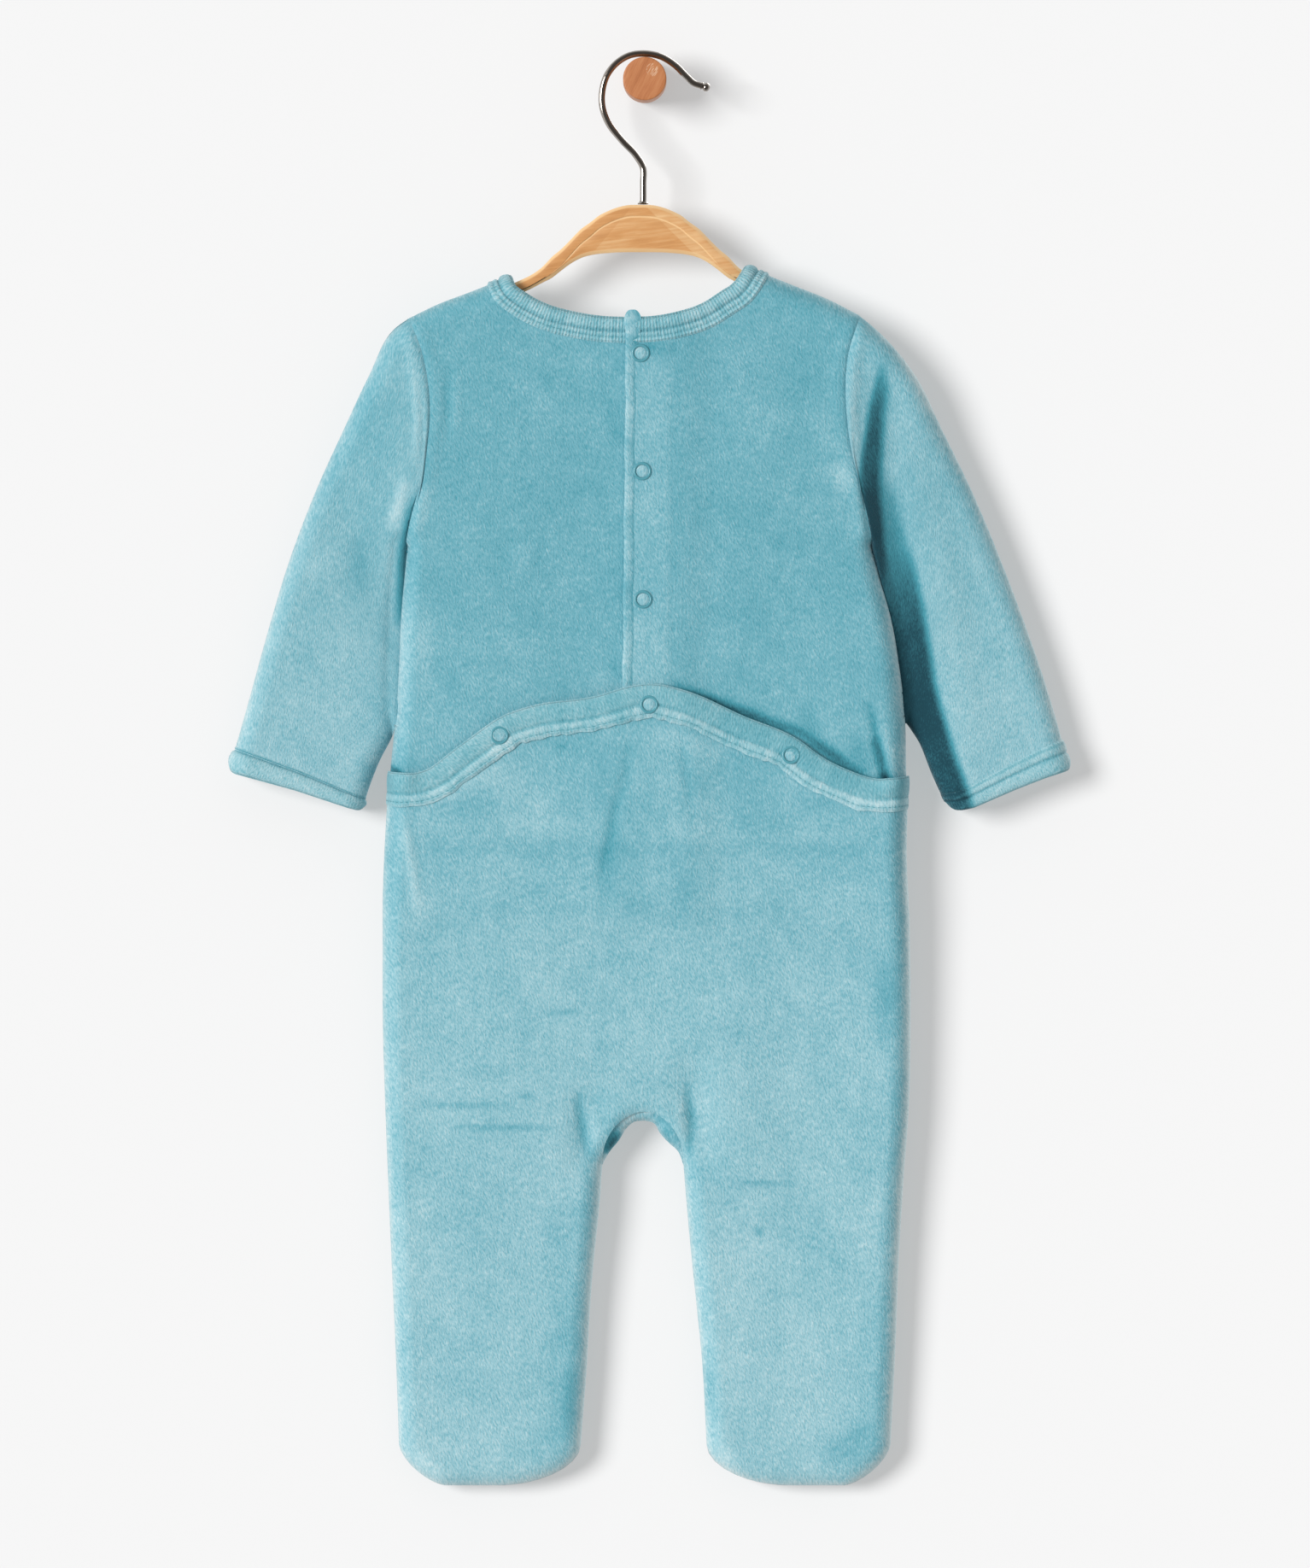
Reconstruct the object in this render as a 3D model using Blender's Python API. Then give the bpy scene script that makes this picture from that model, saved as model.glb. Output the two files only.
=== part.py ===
"""Velour baby sleepsuit on a wooden hanger that hangs on a round wall peg.

Metres, +Z up.  The origin is the middle of the peg's flat back face, +Y runs into the wall and the
garment's back faces -Y.  Sizes below are millimetres: x is across, and a drop is the height below
the peg's axis.  The garment is a set of cloth walls on one closed form: two faces, back and front,
that round into each other along the garment's outline.
"""

import math
from collections import namedtuple

import bmesh
import bpy
import numpy as np
from mathutils import Vector

MM = 0.001

# Cloth and seams.
CLOTH = 1.4
SEAM_GAP = 0.3
LAYER = CLOTH + SEAM_GAP
BINDING_LIFT = CLOTH + 2.0 * SEAM_GAP
BACK = 1.0
FRONT = -1.0

# How the garment's hollow form closes at its outline.
HANG_PLANE = -30.0
EDGE_ROUND = 10.0
SLEEVE_DEPTH = 9.5
SLEEVE_SET_BACK = 5.0
SLEEVE_RUN_ON = 4.0
ARMHOLE_GAP = 1.5 * SEAM_GAP

Depth = namedtuple("Depth", "drop half")
DEPTHS = (
    Depth(90, 12.0),
    Depth(140, 12.0),
    Depth(240, 13.0),
    Depth(420, 13.5),
    Depth(540, 12.0),
    Depth(620, 10.5),
    Depth(730, 10.0),
)

# The outline, left and right as the back shows it.
Pair = namedtuple("Pair", "left_x left_drop right_x right_drop")
SHOULDER = (
    Pair(-6.0, 80.0, -6.0, 80.0),
    Pair(-38.0, 88.0, 22.0, 84.5),
    Pair(-69.6, 101.7, 52.5, 96.8),
    Pair(-89.8, 109.7, 76.1, 106.2),
    Pair(-106.9, 116.2, 93.7, 113.2),
    Pair(-121.9, 123.5, 111.0, 122.0),
)
NECK_POINT_ROW = 2
SLEEVE_OUTER = (
    Pair(-121.9, 123.5, 111.0, 122.0),
    Pair(-129.5, 129.0, 119.5, 129.0),
    Pair(-142.6, 153.1, 140.0, 153.1),
    Pair(-154.9, 179.5, 152.9, 179.5),
    Pair(-170.7, 214.7, 169.8, 214.7),
    Pair(-183.9, 249.9, 184.4, 249.9),
    Pair(-194.5, 285.1, 197.6, 285.1),
    Pair(-204.2, 320.3, 209.4, 320.3),
    Pair(-214.5, 356.5, 219.0, 355.5),
)
SLEEVE_INNER = (
    Pair(-124.1, 241.0, 118.6, 241.0),
    Pair(-126.3, 267.0, 125.4, 267.0),
    Pair(-128.0, 305.0, 132.6, 304.5),
    Pair(-130.0, 338.0, 135.4, 332.0),
    Pair(-136.8, 351.6, 141.5, 342.0),
    Pair(-141.0, 362.0, 147.6, 357.0),
    Pair(-146.0, 377.0, 156.0, 375.0),
)
Section = namedtuple("Section", "drop left right")
BODY_EDGE = (
    Section(122.8, -121.9, 111.0),
    Section(142.0, -114.8, 105.2),
    Section(157.0, -112.0, 103.8),
    Section(172.0, -111.2, 104.3),
    Section(190.0, -112.8, 106.6),
    Section(207.7, -115.4, 110.9),
    Section(225.0, -120.3, 114.5),
    Section(241.0, -123.3, 117.8),
    Section(253.0, -124.2, 120.6),
    Section(278.5, -126.0, 127.2),
    Section(304.5, -127.0, 131.6),
    Section(330.4, -128.6, 134.2),
    Section(355.0, -131.0, 134.8),
    Section(373.0, -132.3, 135.0),
    Section(400.0, -133.8, 134.5),
    Section(440.0, -135.0, 136.5),
    Section(490.0, -135.0, 137.0),
    Section(530.0, -133.8, 136.2),
    Section(566.0, -132.4, 133.5),
    Section(606.0, -130.7, 131.1),
    Section(659.0, -128.3, 129.0),
    Section(704.0, -126.7, 126.7),
)
INSEAM = (
    Section(560.0, -22.0, 20.0),
    Section(580.0, -23.3, 21.6),
    Section(606.0, -26.0, 24.0),
    Section(633.0, -28.2, 26.8),
    Section(659.0, -29.6, 29.4),
    Section(704.0, -33.0, 31.9),
)
UNDERARM = 241.0
CROTCH_TOP = 537.0
FOOT_TOP = 704.0
FOOT_BOTTOM = 725.0
FOOT_OUTER_WIDTH = 24.0
FOOT_INNER_WIDTH = 42.0
FOOT_OUTER_CURVE = 1.5
FOOT_INNER_CURVE = 1.9

# The neck: how far its edge drops below the shoulders' line.
NECK_BACK = (
    Section(106.8, -67.4, 45.5),
    Section(110.4, -63.0, 40.0),
    Section(117.0, -51.0, 29.5),
    Section(121.2, -36.0, 17.0),
    Section(123.4, -22.0, 5.0),
)
NECK_BACK_MIDDLE = 124.0
NECK_FRONT = (
    Section(115.0, -66.0, 46.5),
    Section(131.0, -55.0, 35.0),
    Section(143.0, -38.0, 19.0),
    Section(149.0, -24.0, 4.0),
)
NECK_FRONT_MIDDLE = 151.0
NECK_BINDING_WIDTH = 12.4
NECK_OVERHANG = 0.8

# The closing in the upper back: the right panel laps over the left one.
CLOSING_TOP = -8.8
CLOSING_LEAN = -2.6
CLOSING_LAP = 22.0
LAP_FADE = (24.0, 46.0)
FLAP_LAP_START = (-54.0, -2.0)
FLAP_LAP_END = (30.0, 54.0)
UPPER_BACK_END = 398.0

# The seat flap's bound upper edge.
FlapPoint = namedtuple("FlapPoint", "x drop")
FLAP_EDGE = (
    FlapPoint(-132.0, 358.5),
    FlapPoint(-122.0, 360.0),
    FlapPoint(-110.0, 357.0),
    FlapPoint(-99.0, 348.5),
    FlapPoint(-86.0, 339.0),
    FlapPoint(-72.6, 330.0),
    FlapPoint(-58.0, 325.0),
    FlapPoint(-24.0, 319.8),
    FlapPoint(-8.0, 315.0),
    FlapPoint(4.0, 313.6),
    FlapPoint(20.0, 317.0),
    FlapPoint(50.6, 330.4),
    FlapPoint(77.0, 341.4),
    FlapPoint(90.2, 351.1),
    FlapPoint(104.0, 358.0),
    FlapPoint(120.0, 362.8),
    FlapPoint(135.0, 361.0),
)
FLAP_BINDING_WIDTH = 16.5
FLAP_OVERHANG = 1.0
FLAP_LIFT_FADE = (420.0, 452.0)
FLAP_EDGE_ROW = 8.0

# Soft folds that the cloth hangs in: a ridge is above 0, a trough below.
Fold = namedtuple("Fold", "face x0 drop0 x1 drop1 width height")
FOLD_TAPER = 0.7
FOLDS = (
    Fold(BACK, 124.0, 150.0, 134.0, 300.0, 10.0, -3.5),
    Fold(BACK, 134.0, 300.0, 150.0, 356.0, 10.0, -3.0),
    Fold(BACK, -27.0, 517.0, -32.0, 570.0, 9.0, -2.2),
    Fold(BACK, 25.0, 500.0, 29.0, 570.0, 9.0, -2.2),
    Fold(BACK, 40.0, 470.0, 60.0, 600.0, 22.0, 1.2),
    Fold(FRONT, -60.0, 190.0, -48.0, 300.0, 16.0, -2.0),
    Fold(FRONT, 64.0, 205.0, 50.0, 330.0, 16.0, -2.0),
    Fold(FRONT, -28.0, 490.0, -34.0, 575.0, 10.0, -2.4),
    Fold(FRONT, 27.0, 495.0, 33.0, 580.0, 10.0, -2.4),
    Fold(FRONT, -136.0, 200.0, -160.0, 290.0, 12.0, -2.0),
    Fold(FRONT, 140.0, 210.0, 166.0, 305.0, 12.0, -2.0),
)

# Cuff bands: how far each one reaches up the sleeve, as a share of the sleeve's length.
CUFF_SHARE = {"left": 0.048, "right": 0.060}
CUFF_ROWS = 3

# Ring snaps.
Snap = namedtuple("Snap", "x drop carrier")
SNAPS = (
    Snap(-2.2, 141.6, "closing"),
    Snap(-1.3, 202.4, "closing"),
    Snap(-0.9, 268.4, "closing"),
    Snap(-74.8, 338.4, "flap"),
    Snap(2.2, 322.5, "flap"),
    Snap(75.2, 348.5, "flap"),
)
SNAP_RADIUS = 4.75
SNAP_HOLE = 3.3
SNAP_HEIGHT = 1.1
SNAP_SIDES = 16
SNAP_SEAT_POINTS = 12
SnapRim = namedtuple("SnapRim", "inset outset height")
SNAP_RIM = SnapRim(0.45, 0.35, 0.6)

# Wooden hanger: half of its outline, outwards from the middle.
HangerRow = namedtuple("HangerRow", "out top bottom")
HANGER_MIDDLE = -2.4
HANGER = (
    HangerRow(0.0, 64.9, 89.3),
    HangerRow(6.6, 65.1, 89.3),
    HangerRow(13.6, 66.9, 89.5),
    HangerRow(17.6, 68.6, 89.8),
    HangerRow(21.1, 70.4, 90.1),
    HangerRow(25.5, 73.9, 90.8),
    HangerRow(30.4, 77.4, 92.2),
    HangerRow(35.6, 82.7, 95.0),
    HangerRow(40.9, 88.0, 98.9),
    HangerRow(45.5, 91.8, 102.5),
    HangerRow(50.0, 96.6, 104.8),
    HangerRow(56.0, 101.0, 108.0),
    HangerRow(60.0, 103.0, 109.9),
    HangerRow(65.0, 105.2, 112.3),
    HangerRow(79.0, 109.9, 117.8),
    HangerRow(88.0, 113.6, 121.2),
    HangerRow(96.0, 117.4, 123.6),
    HangerRow(98.5, 119.4, 122.4),
)
HANGER_HALF_THICKNESS = 4.2
HANGER_EDGE = 2.4
HANGER_EDGE_SHARE = 0.35

# Wire hook: its centreline, from the stem's foot over the peg to the ball end.
HookPoint = namedtuple("HookPoint", "x drop")
WIRE_RADIUS = 1.7
WIRE_SIDES = 10
HOOK = (
    HookPoint(-0.8, 64.3),
    HookPoint(-0.8, 54.0),
    HookPoint(-1.0, 45.5),
    HookPoint(-4.5, 39.5),
    HookPoint(-12.0, 31.4),
    HookPoint(-18.8, 22.6),
    HookPoint(-21.9, 14.0),
    HookPoint(-21.9, 6.0),
    HookPoint(-19.4, -2.2),
    HookPoint(-14.6, -8.2),
    HookPoint(-8.0, -12.2),
    HookPoint(0.0, -13.2),
    HookPoint(8.8, -11.4),
    HookPoint(15.8, -7.0),
    HookPoint(21.4, -1.4),
    HookPoint(25.4, 2.2),
    HookPoint(29.0, 3.4),
)
BALL_RADIUS = 2.3
BallStep = namedtuple("BallStep", "along share")
BALL = (
    BallStep(0.5, 0.8),
    BallStep(1.3, 1.0),
    BallStep(2.6, 1.0),
    BallStep(3.6, 0.75),
    BallStep(4.1, 0.4),
)
FERRULE_RADIUS = 3.0
FERRULE_HEIGHT = 1.5
FERRULE_EDGE = 0.4
FERRULE_SIDES = 16

PEG_RADIUS = 11.2
PEG_LENGTH = 38.0
PEG_SIDES = 40
PEG_EDGE = 0.8

# Where the walls are sampled.
SIDE_STEPS = (0.0, 0.006, 0.022, 0.048, 0.08, 0.16, 0.27, 0.39, 0.51, 0.63, 0.75, 0.87, 0.965, 1.0)
NECK_COLUMN_SHARES = (0.0, 0.02, 0.07, 0.19, 0.4, 0.68, 1.0)
NECK_SHARES = (0.0, 0.01, 0.035, 0.08, 0.14, 0.22, 0.33, 0.46, 0.62, 0.8, 1.0)
BINDING_STEPS = (0.0, 0.3, 0.65, 1.0)
SIDE_COLUMNS = 5
HOOK_STATIONS = 44
SLEEVE_SHARES = (0.0, 0.063, 0.141, 0.225, 0.313, 0.404, 0.498, 0.595, 0.693, 0.794, 0.896, 1.0)
ARMHOLE_FADE = 0.45
SLEEVE_SETTLED = 0.4
ARMHOLE_DROPS = [122.8, 125.4, 131.8, 145.0, 165.0, 190.0, 212.0, 229.0, 238.0, UNDERARM]
TORSO_DROPS = ARMHOLE_DROPS + [262.0, 292.0, 325.0, 350.0]
WAIST_JOINT = 325.0
UPPER_BACK_DROPS = [370.0, UPPER_BACK_END]
HIP_DROPS = [373.0, 395.0, 418.0, 445.0, 478.0, 510.0]
CROTCH_DROPS = (534.0, 541.0, 549.0, 557.0, 565.0)
LEG_DROPS = (588.0, 615.0, 645.0, 672.0, 694.0)
FOOT_SHARES = (0.0, 0.3, 0.62, 0.86, 1.0)
TOP_FADE_END = 300.0
CURVE_STEPS = 10
SLOPE_STEP = 0.25

VELOUR = ("velour", (0.205, 0.445, 0.515), 0.95, 0.0)
VELOUR_TRIM = ("velour_trim", (0.235, 0.475, 0.545), 0.95, 0.0)
SNAP_PAINT = ("snap_paint", (0.16, 0.42, 0.47), 0.4, 0.0)
HANGER_WOOD = ("hanger_wood", (0.66, 0.40, 0.16), 0.5, 0.0)
PEG_WOOD = ("peg_wood", (0.52, 0.24, 0.10), 0.6, 0.0)
CHROME = ("chrome", (0.62, 0.60, 0.57), 0.18, 1.0)


def clear_scene():
    """Remove the objects of the scene that the script starts in."""
    for item in list(bpy.data.objects):
        bpy.data.objects.remove(item, do_unlink=True)


def material(finish):
    """Plain material of one finish, made once."""
    name, colour, roughness, metallic = finish
    found = bpy.data.materials.get(name)
    if found:
        return found
    made = bpy.data.materials.new(name)
    made.use_nodes = True
    shader = made.node_tree.nodes["Principled BSDF"]
    shader.inputs["Base Color"].default_value = (*colour, 1.0)
    shader.inputs["Roughness"].default_value = roughness
    shader.inputs["Metallic"].default_value = metallic
    return made


def add_mesh(name, points, faces, finish, smooth_angle=math.radians(40)):
    """New object from points in millimetres (x, y, z) and faces."""
    mesh = bpy.data.meshes.new(name)
    mesh.from_pydata([tuple(MM * c for c in point) for point in points], [], faces)
    mesh.shade_smooth()
    mesh.set_sharp_from_angle(angle=smooth_angle)
    mesh.materials.append(material(finish))
    made = bpy.data.objects.new(name, mesh)
    bpy.context.scene.collection.objects.link(made)
    return made


def smooth_through(knots, values, at):
    """Value at each place on a cubic curve through rising knots."""
    knots = np.asarray(knots, float)
    values = np.asarray(values, float)
    at = np.clip(np.asarray(at, float), knots[0], knots[-1])
    slopes = np.gradient(values, knots)
    low = np.clip(np.searchsorted(knots, at, side="right") - 1, 0, len(knots) - 2)
    span = knots[low + 1] - knots[low]
    t = (at - knots[low]) / span
    rise = values[low + 1] - values[low]
    start = span * slopes[low]
    end = span * slopes[low + 1]
    return values[low] + t * start + t**2 * (3 * rise - 2 * start - end) + t**3 * (start + end - 2 * rise)


def flowing_line(points, shares):
    """Points at shares of the length of a smooth line through the given points."""
    points = np.asarray(points, float)
    steps = np.hypot(*np.diff(points, axis=0).T)
    along = np.concatenate([[0.0], np.cumsum(steps)])
    at = np.asarray(shares, float) * along[-1]
    return np.column_stack([smooth_through(along, points[:, k], at) for k in range(points.shape[1])])


def ease(value, start, end):
    """0 before start, 1 after end, and a soft step between them."""
    t = np.clip((np.asarray(value, float) - start) / (end - start), 0.0, 1.0)
    return t * t * (3.0 - 2.0 * t)


def side_points(rows, side):
    """A table's points on one side of the garment, as (x, drop)."""
    if side == "left":
        return [(row.left_x, row.left_drop) for row in rows]
    return [(row.right_x, row.right_drop) for row in rows]


def edge_x(rows, side, drop):
    """Where one side's edge lies at a drop."""
    return smooth_through([row.drop for row in rows], [getattr(row, side) for row in rows], drop)


def foot_corner(side, outer, share):
    """Points of the foot's rounded corners, from its side (share 0) to its flat bottom (share 1)."""
    sign = -1.0 if side == "left" else 1.0
    rows, width, curve = (BODY_EDGE, FOOT_OUTER_WIDTH, FOOT_OUTER_CURVE)
    inward = -sign
    if not outer:
        rows, width, curve = (INSEAM, FOOT_INNER_WIDTH, FOOT_INNER_CURVE)
        inward = sign
    start = edge_x(rows, side, FOOT_TOP)
    angle = share * math.pi / 2
    x = start + inward * width * (1.0 - math.cos(angle) ** (2.0 / curve))
    return (float(x), FOOT_TOP + (FOOT_BOTTOM - FOOT_TOP) * math.sin(angle) ** (2.0 / curve))


def crotch_arc(side, share):
    """Points of the crotch's arch, from its top (share 0) to the inseam (share 1)."""
    top = INSEAM[0].drop
    reach = getattr(INSEAM[0], side)
    angle = share * math.pi / 2
    return (reach * math.sin(angle), top - (top - CROTCH_TOP) * math.cos(angle))


def half_outline(side):
    """Half of the line on which the garment's two faces meet, from above the neck to the crotch."""
    shares = np.linspace(0.0, 1.0, len(SHOULDER) * CURVE_STEPS)
    points = list(flowing_line(side_points(SHOULDER, side), shares))
    outer = flowing_line(side_points(SLEEVE_OUTER, side), shares)
    inner = flowing_line(side_points(SLEEVE_INNER, side), shares)
    past_outer = outer[-1] + SLEEVE_RUN_ON * (outer[-1] - outer[-5])
    past_inner = inner[-1] + SLEEVE_RUN_ON * (inner[-1] - inner[-5])
    points += list(outer[1:]) + [past_outer, past_inner] + list(inner[::-1])
    drops = np.linspace(UNDERARM, FOOT_TOP, len(BODY_EDGE) * CURVE_STEPS)
    points += list(np.column_stack([edge_x(BODY_EDGE, side, drops), drops]))
    corner_shares = np.linspace(0.0, 1.0, CURVE_STEPS)
    points += [foot_corner(side, True, share) for share in corner_shares[1:]]
    points += [foot_corner(side, False, share) for share in corner_shares[::-1]]
    drops = np.linspace(FOOT_TOP, INSEAM[0].drop, len(INSEAM) * CURVE_STEPS)[1:]
    points += list(np.column_stack([edge_x(INSEAM, side, drops), drops]))
    points += [crotch_arc(side, share) for share in corner_shares[::-1][1:]]
    return np.array(points)


def whole_outline():
    """The closed outline, left half down and right half back up."""
    left = half_outline("left")
    right = half_outline("right")
    return np.vstack([left, right[::-1][1:-1]])


OUTLINE = whole_outline()


def inside_distance(points):
    """How far each (x, drop) lies inside the outline, below 0 outside it."""
    starts = OUTLINE
    runs = np.roll(OUTLINE, -1, axis=0) - starts
    lengths = np.maximum((runs**2).sum(axis=1), 1e-12)
    offset = points[:, None, :] - starts[None, :, :]
    share = np.clip((offset * runs).sum(axis=2) / lengths, 0.0, 1.0)
    nearest = np.hypot(*np.moveaxis(offset - share[..., None] * runs, 2, 0)).min(axis=1)
    rises = (starts[:, 1] > points[:, 1, None]) != (starts[:, 1] + runs[:, 1] > points[:, 1, None])
    tall = np.where(runs[:, 1] == 0.0, 1e-12, runs[:, 1])
    crossing = starts[:, 0] + (points[:, 1, None] - starts[:, 1]) * runs[:, 0] / tall
    inside = (rises & (points[:, 0, None] < crossing)).sum(axis=1) % 2 == 1
    return np.where(inside, nearest, -nearest)


def fold_height(points, face):
    """Height of the soft folds at each (x, drop) on one face."""
    height = np.zeros(len(points))
    for fold in FOLDS:
        start = np.array([fold.x0, fold.drop0])
        run = np.array([fold.x1, fold.drop1]) - start
        share = ((points - start) @ run) / (run @ run)
        near = start + np.clip(share, 0.0, 1.0)[:, None] * run
        away = np.hypot(*(points - near).T) / fold.width
        taper = np.sin(np.pi * np.clip(share, 0.0, 1.0)) ** FOLD_TAPER
        height += np.where(face == fold.face, fold.height * taper * np.exp(-(away**2)), 0.0)
    return height


def place(points, face, lift, depth, mid):
    """Points on the garment's form, moved out by a lift, as (x, y, z) in millimetres."""
    shape = points.shape[:-1]
    flat = points.reshape(-1, 2)
    face, lift, depth, mid = (np.broadcast_to(v, shape).reshape(-1) for v in (face, lift, depth, mid))
    inside = np.maximum(inside_distance(flat), 0.0)
    slope = []
    for axis in range(2):
        shift = np.zeros(2)
        shift[axis] = SLOPE_STEP
        slope.append(inside_distance(flat + shift) - inside_distance(flat - shift))
    slope = np.array(slope).T
    slope /= np.maximum(np.hypot(*slope.T), 1e-9)[:, None]
    turn = np.arccos(1.0 - np.clip(inside / EDGE_ROUND, 0.0, 1.0))
    fold = fold_height(flat, face) * np.sin(turn)
    moved = flat - slope * (lift * np.cos(turn))[:, None]
    proud = (depth + lift) * np.sin(turn) + fold + SEAM_GAP / 2
    y = mid - face * proud
    return np.column_stack([moved[:, 0], y, -moved[:, 1]]).reshape(*shape, 3)


def body_depth(points):
    """Half depth of the body's hollow form at each (x, drop)."""
    rows = [row.drop for row in DEPTHS]
    return smooth_through(rows, [row.half for row in DEPTHS], points[..., 1])


def grid_quads(index, ring=False):
    """Faces of a grid of point numbers, closed sideways where ring is set."""
    rows, columns = index.shape
    last = columns if ring else columns - 1
    quads = []
    for r in range(rows - 1):
        for c in range(last):
            n = (c + 1) % columns
            quads.append((index[r, c], index[r, n], index[r + 1, n], index[r + 1, c]))
    return quads


def open_edges(quads):
    """Edges that only one face uses, in that face's direction."""
    count = {}
    for quad in quads:
        for k in range(4):
            edge = (quad[k], quad[(k + 1) % 4])
            count.setdefault(frozenset(edge), []).append(edge)
    return [edges[0] for edges in count.values() if len(edges) == 1]


def cloth(name, points, quads, face, lift, finish, depth=None, mid=HANG_PLANE):
    """Cloth wall on the garment's form: its outer face is lifted off it, its inner one lies below."""
    if depth is None:
        depth = body_depth(points)
    outside = place(points, face, lift, depth, mid)
    inside = place(points, face, np.asarray(lift) - CLOTH, depth, mid)
    size = len(points)
    faces = [tuple(quad) for quad in quads]
    faces += [tuple(size + k for k in reversed(quad)) for quad in quads]
    faces += [(b, a, size + a, size + b) for a, b in open_edges(quads)]
    made = add_mesh(name, np.vstack([outside, inside]), faces, finish)
    face_outwards(made)
    return made


def face_outwards(item):
    """Turn a closed mesh's faces out, where they all point in."""
    shape = bmesh.new()
    shape.from_mesh(item.data)
    if shape.calc_volume(signed=True) < 0.0:
        bmesh.ops.reverse_faces(shape, faces=shape.faces)
        shape.to_mesh(item.data)
    shape.free()


def two_halves(left, right, joined):
    """Points and faces of two half grids that share their inner column over the first rows."""
    rows, columns = left.shape[:2]
    left_index = np.arange(rows * columns).reshape(rows, columns)
    right_index = left_index + rows * columns
    right_index[:joined, -1] = left_index[:joined, -1]
    points = np.vstack([left.reshape(-1, 2), right.reshape(-1, 2)])
    quads = grid_quads(left_index) + [tuple(reversed(quad)) for quad in grid_quads(right_index)]
    used, flat = np.unique(np.array(quads), return_inverse=True)
    return points[used], flat.reshape(-1, 4).tolist()


def neck_edge(side, face, shares):
    """Points along one side of the neck's edge, from the shoulder (share 0) to the middle."""
    rows, middle = (NECK_BACK, NECK_BACK_MIDDLE) if face == BACK else (NECK_FRONT, NECK_FRONT_MIDDLE)
    line = [side_points(SHOULDER, side)[NECK_POINT_ROW]]
    line += [(getattr(row, side), row.drop) for row in rows]
    line.append((CLOSING_TOP, middle))
    return flowing_line(line, shares)


def top_edge(side, face, columns):
    """Upper edge of half a panel: the shoulder from its tip, then the neck to its middle."""
    shoulder = np.array(side_points(SHOULDER, side))[NECK_POINT_ROW:][::-1]
    first = flowing_line(shoulder, np.linspace(0.0, 1.0, columns + 1 - len(NECK_COLUMN_SHARES)))
    neck = neck_edge(side, face, NECK_COLUMN_SHARES)
    return np.vstack([first[:-1], neck])


def body_end(side, drop):
    """A row's outer end on the garment's side."""
    return (float(edge_x(BODY_EDGE, side, drop)), drop)


def leg_rows(side):
    """Outer and inner end of each row from the crotch to the foot's bottom."""
    rows = []
    for share, drop in zip(np.linspace(0.0, 1.0, len(CROTCH_DROPS)), CROTCH_DROPS):
        rows.append((body_end(side, drop), crotch_arc(side, share)))
    for drop in LEG_DROPS:
        rows.append((body_end(side, drop), (float(edge_x(INSEAM, side, drop)), drop)))
    for share in FOOT_SHARES:
        rows.append((foot_corner(side, True, share), foot_corner(side, False, share)))
    return rows


def between(ends, steps):
    """Grid of points between the two ends of each row."""
    ends = np.array(ends, float)
    steps = np.asarray(steps)[None, :, None]
    return ends[:, 0, None, :] * (1.0 - steps) + ends[:, 1, None, :] * steps


def bend_top(grid, top, fade_drop):
    """Bend a grid's first row onto a top edge, and fade that out down to a drop."""
    shift = top - grid[0]
    fade = 1.0 - ease(grid[:, :1, 1], grid[0, 0, 1], fade_drop)
    return grid + shift[None, :, :] * fade[:, :, None]


def middle_line(drop, start):
    """The middle of a panel, which leans from the neck's middle to the crotch's."""
    share = np.clip((drop - start) / (CROTCH_TOP - start), 0.0, 1.0)
    return (CLOSING_TOP * (1.0 - share), drop)


def front_half(side):
    """Grid of half the front panel, shoulder to foot."""
    drops = TORSO_DROPS + HIP_DROPS
    middle_drops = np.interp(drops, [drops[0], CROTCH_DROPS[0]], [NECK_FRONT_MIDDLE, CROTCH_TOP])
    ends = []
    for drop, middle in zip(drops, middle_drops):
        ends.append((body_end(side, drop), middle_line(middle, NECK_FRONT_MIDDLE)))
    grid = between(ends + leg_rows(side), SIDE_STEPS)
    return bend_top(grid, top_edge(side, FRONT, len(SIDE_STEPS)), TOP_FADE_END)


def rows_between(grid, first, last):
    """Rows of a grid from one joint to the next, set back from the first joint by the seam's gap."""
    rows = grid[first:last].copy()
    if first:
        step = rows[1] - rows[0]
        rows[0] += step * (SEAM_GAP / np.linalg.norm(step, axis=1, keepdims=True))
    return rows


def build_front():
    """Front panel with both legs: one cut of cloth, parted by a hair at the waist and the legs' tops."""
    left = front_half("left")
    right = front_half("right")
    waist = TORSO_DROPS.index(WAIST_JOINT)
    leg_top = len(TORSO_DROPS) + len(HIP_DROPS) + len(CROTCH_DROPS) - 1
    joined = len(TORSO_DROPS) + len(HIP_DROPS) + 1
    chest = [rows_between(half, 0, waist + 1) for half in (left, right)]
    points, quads = two_halves(*chest, waist + 1)
    cloth("front_panel_chest", points, quads, FRONT, 0.0, VELOUR)
    hips = [rows_between(half, waist, leg_top + 1) for half in (left, right)]
    points, quads = two_halves(*hips, joined - waist)
    cloth("front_panel_hips", points, quads, FRONT, 0.0, VELOUR)
    for side, half in (("left", left), ("right", right)):
        leg = rows_between(half, leg_top, len(half))
        index = np.arange(leg.shape[0] * leg.shape[1]).reshape(leg.shape[:2])
        cloth("front_panel_leg_" + side, leg.reshape(-1, 2), grid_quads(index), FRONT, 0.0, VELOUR)


def closing_x(drop):
    """Where the upper right panel's closing edge runs."""
    share = (drop - NECK_BACK_MIDDLE) / (UPPER_BACK_END - NECK_BACK_MIDDLE)
    return CLOSING_TOP + CLOSING_LEAN * share


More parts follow.
